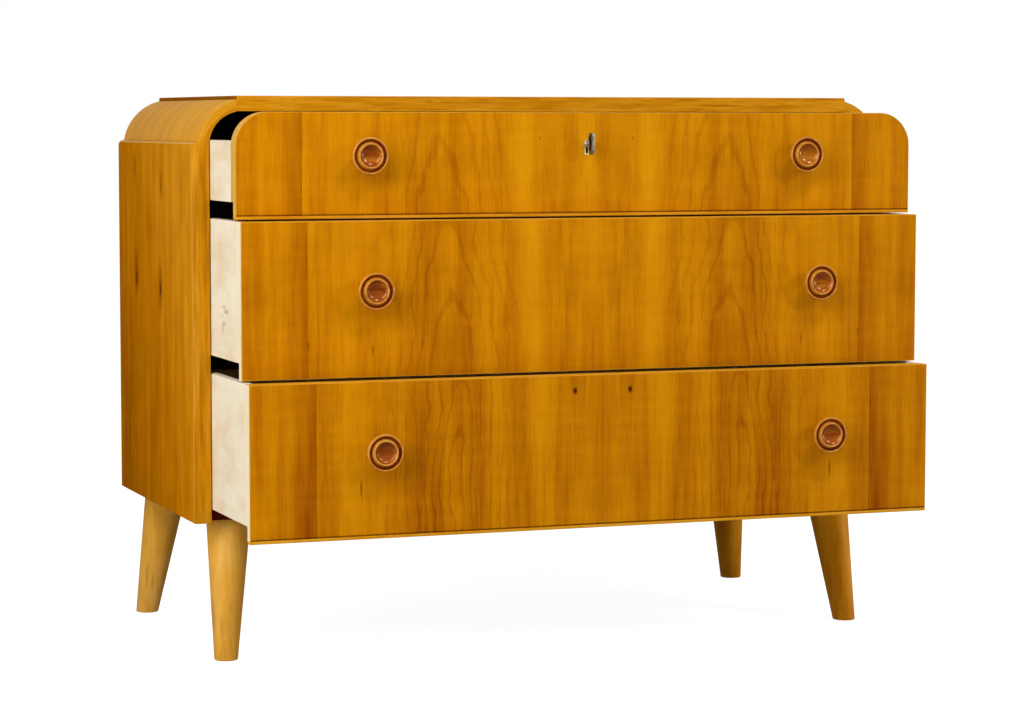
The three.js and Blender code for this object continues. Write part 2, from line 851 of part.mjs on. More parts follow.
// The bolt rises through the selvedge, and its tail straddles the turning bit.
function lockBolt() {
  const { top, base } = lockLevels();
  const { front: near, back: far } = boltPlaces();
  const head = block([-boltWidth / 2, boltWidth / 2], [near, far], [top - boltHeadHeight, top]);
  const tailBase = base + lockWall + boltSlack;
  const tail = block(
    [-boltTailWidth / 2, boltTailWidth / 2], [near, far],
    [tailBase, top - boltHeadHeight],
  );
  const sweep = keyBitReach + keySlack;
  const talon = rod(sweep, near - overrun, far + overrun, 0, keyAxis)
    .add(block([-sweep, sweep], [near - overrun, far + overrun], [tailBase - overrun, keyAxis]));
  return piece('lock_bolt', head.add(tail).subtract(talon), finish('steel'));
}

function escutcheon() {
  const rim = keyholeOutline(escutcheonWall);
  rim.holes.push(keyholeOutline(0));
  const proudFace = frontFace - escutcheonProud;
  const ring = alongDepth(rim, proudFace, proudFace + escutcheonDepth);
  return piece('escutcheon', ring, finish('brass'));
}

// The key: a turned stem with a collar, a flat oval bow with an eye, and a warded bit
function key() {
  const tip = frontBack - lockPlateThickness - keySlack;
  const collar = frontFace - keyCollarStart;
  const bowFront = frontFace - keyBowStart;
  const stem = turned([
    [0, tip],
    [keyStemRadius, tip],
    [keyStemRadius, collar],
    [keyCollarRadius, collar],
    [keyCollarRadius, collar - keyCollarLength],
    [keyStemRadius, collar - keyCollarLength],
    [keyStemRadius, bowFront - keyBowRim / 2],
    [0, bowFront - keyBowRim / 2],
  ], 0, keyAxis, keyCollarRadius);
  const oval = (inset) => {
    const curve = new THREE.EllipseCurve(
      bowFront - keyBowLength / 2, keyAxis,
      keyBowLength / 2 - inset, keyBowHeight / 2 - inset,
    );
    return new THREE.Shape(curve.getPoints(arcSteps(keyBowHeight / 2, 2 * Math.PI)));
  };
  const ring = alongWidth(oval(0), -keyBowThickness / 2, keyBowThickness / 2)
    .subtract(alongWidth(oval(keyBowRim), -overrun, overrun));
  const { front: near } = boltPlaces();
  const bit = block(
    [-keyBitThickness / 2, keyBitThickness / 2],
    [near, tip],
    [keyAxis - keyBitReach, keyAxis],
  );
  const middle = (near + tip) / 2;
  const ward = block(
    [-overrun, overrun],
    [middle - keyWardWidth / 2, middle + keyWardWidth / 2],
    [keyAxis - keyBitReach - overrun, keyAxis - keyBitReach + keyWardDepth],
  );
  return piece('key', stem.add(ring).add(bit.subtract(ward)), finish('steel'));
}

const drawers = [
  {
    word: 'top', base: topFrontBase, height: topFrontHeight, rounded: true, locked: true,
    sideTop: topBoxSideTop, opened: topOpened,
    knobHeight: topKnobHeight, knobRightInset: topKnobRightInset,
  },
  {
    word: 'middle', base: middleFrontBase, height: middleFrontHeight, rounded: false, locked: false,
    sideTop: middleFrontBase + middleFrontHeight, opened: middleOpened,
    knobHeight: middleKnobHeight, knobRightInset: middleKnobRightInset,
  },
  {
    word: 'bottom', base: bottomFrontBase, height: bottomFrontHeight, rounded: false, locked: false,
    sideTop: bottomFrontBase + bottomFrontHeight, opened: bottomOpened,
    knobHeight: bottomKnobHeight, knobRightInset: bottomKnobRightInset,
  },
];

function buildDrawer(drawer) {
  const group = new THREE.Group();
  group.add(piece(`${drawer.word}_drawer_front`, frontBoard(drawer), finish('elmVeneer')));
  group.add(...boxBoards(drawer));
  for (const place of knobPlaces(drawer)) {
    group.add(knob(drawer, place), knobScrew(drawer, place));
  }
  if (drawer.locked) {
    group.add(lockCase(), lockBolt(), escutcheon(), key());
  }
  group.position.y = -drawer.opened;
  return group;
}

function buildCase() {
  const group = new THREE.Group();
  group.add(...casePanelSides(), ...cornerMouldings(), topPanel(), bottomPanel(), backPanel());
  group.add(...drawerFrame('upper', topFrontBase), ...drawerFrame('lower', middleFrontBase));
  group.add(...kickers());
  group.add(...legPlaces().map(leg), ...legPlaces().map(legBolt));
  return group;
}

const chest = new THREE.Group();
chest.add(buildCase(), ...drawers.map(buildDrawer));

// The origin is on the floor under the middle of the space that the chest fills.
const filled = new THREE.Box3().setFromObject(chest, true);
chest.position.y = -(filled.min.y + filled.max.y) / 2;

export default chest;
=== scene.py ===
"""The looks of a commode chest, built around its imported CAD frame.

Three drawers stand part open in a case with rounded upper corners, on four splayed legs. The
frame is the record's: +X right, +Y back, +Z up, and the floor at Z = 0. The pieces are in
metres, with their sizes written as so many MM, and the finishes are in millimetres.
"""

import logging
import math
from collections.abc import Callable, Iterator, Sequence
from contextlib import contextmanager
from dataclasses import dataclass, field
from enum import Enum

import bmesh
import bpy
from mathutils import Matrix, Vector


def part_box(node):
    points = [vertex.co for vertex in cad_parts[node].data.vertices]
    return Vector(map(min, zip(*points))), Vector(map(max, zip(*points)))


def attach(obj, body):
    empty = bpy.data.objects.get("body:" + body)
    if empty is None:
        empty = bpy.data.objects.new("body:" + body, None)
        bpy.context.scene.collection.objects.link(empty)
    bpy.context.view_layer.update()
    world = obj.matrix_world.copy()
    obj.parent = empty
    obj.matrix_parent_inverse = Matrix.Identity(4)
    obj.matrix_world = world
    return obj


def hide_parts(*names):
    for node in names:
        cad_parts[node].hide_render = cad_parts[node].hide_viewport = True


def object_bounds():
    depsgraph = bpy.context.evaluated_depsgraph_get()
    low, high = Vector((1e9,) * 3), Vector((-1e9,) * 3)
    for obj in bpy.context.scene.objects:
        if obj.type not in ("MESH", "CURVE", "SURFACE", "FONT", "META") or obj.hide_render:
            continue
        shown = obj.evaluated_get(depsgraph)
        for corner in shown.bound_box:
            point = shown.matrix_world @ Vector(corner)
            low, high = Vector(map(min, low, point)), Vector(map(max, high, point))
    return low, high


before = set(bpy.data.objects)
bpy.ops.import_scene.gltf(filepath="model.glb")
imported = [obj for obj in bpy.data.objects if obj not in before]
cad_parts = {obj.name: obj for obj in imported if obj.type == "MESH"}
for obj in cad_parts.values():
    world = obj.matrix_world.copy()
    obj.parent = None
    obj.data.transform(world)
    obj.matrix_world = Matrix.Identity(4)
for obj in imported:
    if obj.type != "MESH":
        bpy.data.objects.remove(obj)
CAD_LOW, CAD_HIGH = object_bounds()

log = logging.getLogger("chest")

Piece = bpy.types.Object
Finish = bpy.types.Material
Socket = bpy.types.NodeSocket
Value = Socket | float | Sequence[float]

MM = 0.001
# Places closer than this are one place, and points closer than the second are merged.
TOUCH = 0.01 * MM
DOUBLE = 1e-6
# How far a cutting tool reaches past what it cuts.
SPARE = 20 * MM
# The share of a face's normal along an axis, past which the face looks that way.
LOOKS = 0.9
LEANS = 0.7


# The workbench: picking pieces up, choosing their edges and faces, and cutting them.


class Pick(Enum):
    """What is selected in edit mode."""

    FACES = "FACE"
    EDGES = "EDGE"


class Cut(Enum):
    """What a cut with another solid leaves: the rest, what both share, or both as one."""

    AWAY = "DIFFERENCE"
    SHARED = "INTERSECT"
    TOGETHER = "UNION"


def put_down() -> None:
    """Leaves edit mode and deselects every object."""
    if bpy.context.mode != "OBJECT":
        bpy.ops.object.mode_set(mode="OBJECT")
    bpy.ops.object.select_all(action="DESELECT")


def pick_up(piece: Piece) -> None:
    """Selects only this piece, and makes it active.

    Args:
        piece: The piece to pick up.
    """
    put_down()
    piece.select_set(True)
    bpy.context.view_layer.objects.active = piece


@contextmanager
def on_bench(piece: Piece, pick: Pick = Pick.FACES) -> Iterator[bmesh.types.BMesh]:
    """Holds a piece in edit mode with nothing selected.

    Args:
        piece: The piece to work on.
        pick: What is selected there.

    Yields:
        The piece's edit mesh, for choosing its parts.
    """
    pick_up(piece)
    bpy.ops.object.mode_set(mode="EDIT")
    bpy.ops.mesh.select_mode(type=pick.value)
    bpy.ops.mesh.select_all(action="DESELECT")
    yield bmesh.from_edit_mesh(piece.data)
    bpy.ops.object.mode_set(mode="OBJECT")


def called(piece: Piece, name: str) -> Piece:
    """Names a piece and its data alike, and returns the piece."""
    piece.name = piece.data.name = name
    return piece


def fix_place(piece: Piece) -> Piece:
    """Moves a piece's place, turn and scale into its mesh.

    Args:
        piece: The piece to fix.

    Returns:
        The same piece.
    """
    pick_up(piece)
    bpy.ops.object.transform_apply(location=True, rotation=True, scale=True)
    return piece


def face_outwards(piece: Piece) -> None:
    """Turns all the faces of a closed piece outwards.

    Args:
        piece: The piece, without doubled points.
    """
    with on_bench(piece):
        bpy.ops.mesh.select_all(action="SELECT")
        bpy.ops.mesh.normals_make_consistent(inside=False)


def board(name: str, low: Vector, high: Vector) -> Piece:
    """Saws a board.

    Args:
        name: The board's name.
        low: Its lowest corner.
        high: Its highest corner.

    Returns:
        The board, with its place in its mesh.
    """
    put_down()
    bpy.ops.mesh.primitive_cube_add(size=1, location=(low + high) / 2)
    blank = called(bpy.context.object, name)
    blank.scale = high - low
    return fix_place(blank)


def bar(
    name: str, start: Vector, end: Vector, radius: float, end_radius: float | None = None, faces: int = 48
) -> Piece:
    """Makes a round bar between two points.

    Args:
        name: The bar's name.
        start: The middle of its first end.
        end: The middle of its last end.
        radius: Its radius at the first end.
        end_radius: Its radius at the last end, or None where it is the same.
        faces: How many flat faces run round it.

    Returns:
        The bar, with its place in its mesh.
    """
    put_down()
    bpy.ops.mesh.primitive_cone_add(
        vertices=faces, radius1=radius, radius2=radius if end_radius is None else end_radius,
        depth=(end - start).length, location=(start + end) / 2,
    )
    blank = called(bpy.context.object, name)
    blank.rotation_euler = (end - start).to_track_quat("Z", "Y").to_euler()
    return fix_place(blank)


def lathe(name: str, profile: Sequence[tuple[float, float]], x: float, z: float, faces: int) -> Piece:
    """Turns a piece on an axis that runs along Y.

    Args:
        name: The piece's name.
        profile: Radius and place along Y of each ring, from back to front.
        x: The axis's place across the chest.
        z: The axis's height.
        faces: How many flat faces run round it.

    Returns:
        The turned piece, closed at both ends.
    """
    put_down()
    radius, y = profile[0]
    bpy.ops.mesh.primitive_circle_add(
        vertices=faces, radius=radius, fill_type="NGON", location=(x, y, z), rotation=(math.pi / 2, 0, 0)
    )
    turned = called(fix_place(bpy.context.object), name)
    with on_bench(turned):
        bpy.ops.mesh.select_all(action="SELECT")
        for next_radius, next_y in profile[1:]:
            bpy.ops.mesh.extrude_region_move(TRANSFORM_OT_translate={"value": (0, next_y - y, 0)})
            share = next_radius / radius
            bpy.ops.transform.resize(value=(share, 1, share), center_override=(x, next_y, z))
            radius, y = next_radius, next_y
    face_outwards(turned)
    return turned


def lies_at(edge: bmesh.types.BMEdge, place: dict[str, float]) -> bool:
    """Tells whether an edge lies at a place.

    Args:
        edge: The edge.
        place: The x, y or z that both its ends have there.

    Returns:
        Whether they have it.
    """
    return all(
        abs(getattr(end.co, axis) - value) < TOUCH for end in edge.verts for axis, value in place.items()
    )


def round_edges(
    piece: Piece, radius: float, *places: dict[str, float], segments: int, slot: int = -1
) -> None:
    """Rounds some of a piece's edges.

    Args:
        piece: The piece to round.
        radius: How far the rounding reaches from each edge.
        places: The x, y or z that both ends of an edge lie at. An edge that fits any of these
            places is rounded.
        segments: How many flats make the rounding.
        slot: The material slot that the rounding takes, or -1 for its neighbours' own.
    """
    with on_bench(piece, Pick.EDGES) as mesh:
        for edge in mesh.edges:
            edge.select_set(any(lies_at(edge, place) for place in places))
        bmesh.update_edit_mesh(piece.data)
        bpy.ops.mesh.bevel(
            offset=radius, segments=segments, affect="EDGES", clamp_overlap=False, material=slot
        )


def cut(piece: Piece, tool: Piece, leave: Cut = Cut.AWAY) -> None:
    """Cuts a piece with another solid, which is used up.

    Args:
        piece: The piece that is cut.
        tool: The solid that it is cut with.
        leave: What the cut leaves.
    """
    pick_up(piece)
    bpy.ops.object.modifier_add(type="BOOLEAN")
    cutter = piece.modifiers[-1]
    cutter.operation = leave.value
    cutter.solver = "EXACT"
    cutter.object = tool
    bpy.ops.object.modifier_apply(modifier=cutter.name)
    bpy.data.objects.remove(tool, do_unlink=True)


def polish(piece: Piece, angle: float = 38, flats: bool = True) -> Piece:
    """Shades a piece smooth round its curves and sharp at its corners.

    Args:
        piece: The piece to shade.
        angle: Faces that meet at more than this many degrees stay sharp.
        flats: Whether large flat faces keep their own shading beside a rounding.

    Returns:
        The piece.
    """
    with on_bench(piece):
        bpy.ops.mesh.select_all(action="SELECT")
        bpy.ops.mesh.remove_doubles(threshold=DOUBLE)
    face_outwards(piece)
    pick_up(piece)
    bpy.ops.object.shade_smooth_by_angle(angle=math.radians(angle))
    if flats:
        bpy.ops.object.modifier_add(type="WEIGHTED_NORMAL")
        piece.modifiers[-1].keep_sharp = True
        bpy.ops.object.modifier_apply(modifier=piece.modifiers[-1].name)
    return piece


def copied(piece: Piece, name: str, shift: Vector = Vector(), mirror: bool = False) -> Piece:
    """Copies a finished piece with a mesh of its own.

    Args:
        piece: The piece to copy.
        name: The copy's name.
        shift: How far the copy is moved.
        mirror: Whether the copy is turned left for right across the chest's middle.

    Returns:
        The copy, with its place in its mesh.
    """
    twin = piece.copy()
    twin.data = piece.data.copy()
    called(twin, name)
    bpy.context.scene.collection.objects.link(twin)
    twin.location = shift
    if mirror:
        twin.scale = (-1, 1, 1)
    fix_place(twin)
    if mirror:
        face_outwards(twin)
    return twin


def dress(piece: Piece, *finishes: Finish) -> None:
    """Gives a piece its materials.

    Args:
        piece: The piece to dress.
        finishes: Its materials, in the order of their slots.
    """
    piece.data.materials.clear()
    for finish in finishes:
        piece.data.materials.append(finish)


def face_slots(piece: Piece, slot_of: Callable[[Vector, Vector], int]) -> None:
    """Sets each face's material slot from its middle and its normal."""
    for face in piece.data.polygons:
        face.material_index = slot_of(face.center, face.normal)


def put_on(piece: Piece, body: str, slot: str, *nodes: str) -> None:
    """Fixes a finished piece to the part of the chest that it moves with.

    Args:
        piece: The finished piece.
        body: The CAD body that it rides on.
        slot: The record's material slot that its finish belongs to; not used.
        nodes: The CAD nodes that it stands for.
    """
    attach(piece, body)
    if nodes:
        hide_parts(*nodes)
    log.info("%s: %d faces, on %s", piece.name, len(piece.data.polygons), body)


def dress_node(name: str, finish: Finish) -> None:
    """Gives a CAD node that stays a material in each of its slots.

    Args:
        name: The node's name.
        finish: The material.
    """
    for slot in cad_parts[name].material_slots:
        slot.material = finish
    log.info("%s: CAD node, dressed in %s", name, finish.name)


def span(node: str) -> tuple[Vector, Vector]:
    """Gives the lowest and highest corner of a CAD node."""
    low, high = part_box(node)
    return Vector(low), Vector(high)


# Finishes. Their sizes are in millimetres.


def linear(hex_colour: str) -> tuple[float, float, float, float]:
    """Turns an sRGB colour such as #C88A12 into the linear colour that a socket takes."""
    shares = [int(hex_colour[i:i + 2], 16) / 255 for i in (1, 3, 5)]
    return (*((s / 12.92) if s <= 0.04045 else ((s + 0.055) / 1.055) ** 2.4 for s in shares), 1.0)


@dataclass(frozen=True)
class Threads:
    """Uneven threads along the grain of a wood, or scratches in a metal.

    Attributes:
        across: How wide a thread is.
        along: How long a thread is.
        shift: Moves the pattern, so that no two layers agree.
        detail: How many finer sizes are laid over the threads.
    """

    across: float
    along: float
    shift: float = 0
    detail: float = 3


class Recipe:
    """The node tree of a material or of the world, written from its pattern to its surface."""

    # How far a shift moves threads along each axis.
    DRIFT = (1, 1.7, 2.3)

    def __init__(self, owner: Finish | bpy.types.World) -> None:
        """Empties the owner's node tree.

        Args:
            owner: The material or the world that the recipe is for.
        """
        self.owner = owner
        owner.use_nodes = True
        self.tree = owner.node_tree
        self.tree.nodes.clear()

    def add(
        self, kind: str, *inputs: Value, output: int | str = 0, named: dict[int | str, Value] | None = None,
        stops: Sequence[tuple[float, str]] = (), **settings: str,
    ) -> Socket | None:
        """Adds a node with its settings and links.

        Args:
            kind: The node's type, without the ShaderNode that all types start with.
            inputs: A value or another node's output for each of its inputs, from the first on.
            output: Which of the node's outputs is returned.
            named: The same as inputs, by an input's name or number.
            stops: Places and hex colours of a colour ramp.
            settings: The node's own settings.

        Returns:
            The chosen output, or None for a node that has none.
        """
        node = self.tree.nodes.new("ShaderNode" + kind)
        for name, value in settings.items():
            setattr(node, name, value)
        for key, value in (*enumerate(inputs), *(named or {}).items()):
            if isinstance(value, Socket):
                self.tree.links.new(value, node.inputs[key])
            else:
                node.inputs[key].default_value = value
        if stops:
            ramp = node.color_ramp
            while len(ramp.elements) < len(stops):
                ramp.elements.new(0.5)
            for element, (place, colour) in zip(ramp.elements, stops):
                element.position = place
                element.color = linear(colour)
        return node.outputs[output] if node.outputs else None

    def threads(self, place: Socket, threads: Threads, offset: float = 0) -> Socket:
        """Adds uneven threads that run along the grain.

        Args:
            place: Where on the wood, as across, through and along the grain.
            threads: How the threads run.
            offset: Moves the pattern, so that like boards differ.

        Returns:
            An output that lies about 0.5.
        """
        fine, coarse = 1 / (threads.across * MM), 1 / (threads.along * MM)
        shift = offset + threads.shift
        stretched = self.add(
            "VectorMath", place, (fine, fine, coarse), [shift * share for share in self.DRIFT],
            operation="MULTIPLY_ADD",
        )
        return self.add("TexNoise", named={"Vector": stretched, "Scale": 1.0, "Detail": threads.detail})

    def surface(
        self, colour: Socket, roughness: Socket, height: Socket, depth: float, **sockets: Value
    ) -> Finish:
        """Ends the recipe in a surface.

        Args:
            colour: The surface's colour.
            roughness: Its roughness.
            height: What its fine relief is read from.
            depth: How deep that relief is.
            sockets: Constant values for the shader's other sockets, with _ for each space.

        Returns:
            The finished material.
        """
        inputs = {"Base Color": colour, "Roughness": roughness}
        inputs["Normal"] = self.add("Bump", named={"Height": height, "Distance": depth * MM, "Strength": 1.0})
        inputs.update({name.replace("_", " "): value for name, value in sockets.items()})
        self.add("OutputMaterial", self.add("BsdfPrincipled", named=inputs))
        return self.owner


# The gloss of wood under thin lacquer is tinted by the wood, and a thick coat's is nearly white.
LACQUER = "#FFC890"
COAT = "#FFF4E0"


class Grain(Enum):
    """Which axes run across, through and along a board's grain."""

    FRONT_UPRIGHT = ("X", "Y", "Z")
    SIDE_UPRIGHT = ("Y", "X", "Z")
    RAIL = ("Z", "Y", "X")
    PANEL = ("Y", "Z", "X")
    DRAWER_SIDE = ("Z", "X", "Y")


@dataclass(frozen=True)
class Knot:
    """A knot or a dark fleck in a board.

    Attributes:
        across: Its place across the grain.
        along: Its place along the grain.
        half_width: Half its width across the grain.
        half_length: Half its length along the grain.
        dark: How dark its middle is, from 0 to 1.
    """

    across: float
    along: float
    half_width: float
    half_length: float
    dark: float = 1.0


@dataclass(frozen=True)
class Wood:
    """A planed wood: threads of darker and paler grain with short open pores.

    Attributes:
        name: The material's name.
        deep: The colour of its darkest grain.
        middle: Its usual colour.
        pale: The colour of its palest grain.
        grain: Which way its grain runs.
        band: How wide its broad bands are.
        contrast: How far the threads swing from the middle colour.
        pores: How dark its pores are, from 0 to 1.
        roughness: How rough its surface is.
        specular: The strength of its gloss.
        gloss: The colour of its gloss, seen straight on.
        coat: How much lacquer stands over the wood.
        coat_roughness: How rough that lacquer is.
        offset: Moves the pattern, so that like boards differ.
        knots: Its knots and flecks.
        mottle: How strong the cloudy stains across the grain are.
        knot_colour: The colour of a knot.
    """

    name: str
    deep: str
    middle: str
    pale: str
    grain: Grain = Grain.FRONT_UPRIGHT
    band: float = 26
    contrast: float = 1.0
    pores: float = 0.35
    roughness: float = 0.46
    specular: float = 0.25
    gloss: str = LACQUER
    coat: float = 0.0
    coat_roughness: float = 0.2
    offset: float = 0.0
    knots: tuple[Knot, ...] = ()
    mottle: float = 0.0
    knot_colour: str = "#3A1200"

    # How long a band is, how wide a thread and how long, as shares of a band's width.
    BAND_LENGTH, THREAD_WIDTH, THREAD_LENGTH = 12, 0.25, 5
    LINES = Threads(2.2, 55, 6.2, 2)
    # How much the bands, the threads and the fine lines weigh in the tone.
    WEIGHTS = (0.54, 0.28, 0.22)
    # Where the three colours stand among the tones.
    STOPS = (0.18, 0.5, 0.82)
    # Pores are drawn about 1 mm wide, coarser than real ones, so that they show at all.
    PORES = Threads(1.1, 16, 5, 1)
    CLOUDS = Threads(34, 60, 13, 4)
    FRAYED = Threads(6, 30, 9)
    # From where to where in the threads a pore, a cloud or a knot sets in.
    PORE_EDGE = (0.56, 0.74)
    CLOUD_EDGE = (0.45, 0.7)
    KNOT_EDGE = (0.9, 2.6)
    # How much rougher the dark grain is, and how much smoother the pale.
    DULL, BRIGHT = 0.08, 0.06
    # How deep the grain is, and how strongly the lacquer bends light.
    RELIEF, COAT_IOR = 0.12, 1.6

    def place(self, recipe: Recipe) -> Socket:
        """Reads the place on the wood as across, through and along its grain.

        Args:
            recipe: The material's nodes.

        Returns:
            The place.
        """
        here = recipe.add("TexCoord", output="Object")
        axes = {axis: recipe.add("SeparateXYZ", here, output=axis) for axis in "XYZ"}
        return recipe.add("CombineXYZ", *(axes[axis] for axis in self.grain.value))

    def tone(self, recipe: Recipe, place: Socket) -> Socket:
        """Builds the wood's tone from bands, threads and fine lines.

        Args:
            recipe: The material's nodes.
            place: The place on the wood.

        Returns:
            The tone, about 0.5, where less is darker.
        """
        bands = Threads(self.band, self.band * self.BAND_LENGTH, 0, 1)
        threads = Threads(self.band * self.THREAD_WIDTH, self.band * self.THREAD_LENGTH, 3.1, 3)
        tone = 0.5 - sum(self.WEIGHTS) / 2 * self.contrast
        for layer, weight in zip((bands, threads, self.LINES), self.WEIGHTS):
            swing = recipe.threads(place, layer, self.offset)
            tone = recipe.add("Math", swing, weight * self.contrast, tone, operation="MULTIPLY_ADD")
        return tone

    def knot_shade(self, recipe: Recipe, place: Socket) -> Socket:
        """Draws the knots, each with a frayed edge.

        Args:
            recipe: The material's nodes.
            place: The place on the wood.

        Returns:
            How dark a knot is there, from 0 to 1.
        """
        shade = 0.0
        frayed = recipe.threads(place, self.FRAYED, self.offset)
        for knot in self.knots:
            inward = recipe.add(
                "VectorMath", place, (1 / (knot.half_width * MM), 0, 1 / (knot.half_length * MM)),
                (-knot.across / knot.half_width, 0, -knot.along / knot.half_length),
                operation="MULTIPLY_ADD",
            )
            reach = recipe.add("VectorMath", inward, output="Value", operation="LENGTH")
            reach = recipe.add("Math", reach, frayed, operation="ADD")
            dark = recipe.add(
                "MapRange", reach, *self.KNOT_EDGE, knot.dark, 0.0, interpolation_type="SMOOTHSTEP"
            )
            shade = recipe.add("Math", shade, dark, operation="MAXIMUM")
        return shade

    def build(self) -> Finish:
        """Makes the material.

        Returns:
            The finished material.
        """
        recipe = Recipe(bpy.data.materials.new(self.name))
        place = self.place(recipe)
        tone = self.tone(recipe, place)
        stops = tuple(zip(self.STOPS, (self.deep, self.middle, self.pale)))
        colour = recipe.add("ValToRGB", tone, stops=stops)
        stains = []
        for amount, layer, edge in (
            (self.pores, self.PORES, self.PORE_EDGE), (self.mottle, self.CLOUDS, self.CLOUD_EDGE),
        ):
            if amount:
                threads = recipe.threads(place, layer, self.offset)
                stains.append((recipe.add("MapRange", threads, *edge, 0.0, amount), self.deep))
        if self.knots:
            stains.append((self.knot_shade(recipe, place), self.knot_colour))
        for amount, stain in stains:
            inputs = {0: amount, 6: colour, 7: linear(stain)}
            colour = recipe.add("Mix", named=inputs, output=2, data_type="RGBA")
        roughness = recipe.add(
            "MapRange", tone, 0.0, 1.0, self.roughness + self.DULL, self.roughness - self.BRIGHT
        )
        return recipe.surface(
            colour, roughness, tone, self.RELIEF, Specular_IOR_Level=self.specular,
            Specular_Tint=linear(self.gloss), Coat_Weight=self.coat, Coat_Roughness=self.coat_roughness,
            Coat_IOR=self.COAT_IOR, Coat_Tint=linear(COAT),
        )


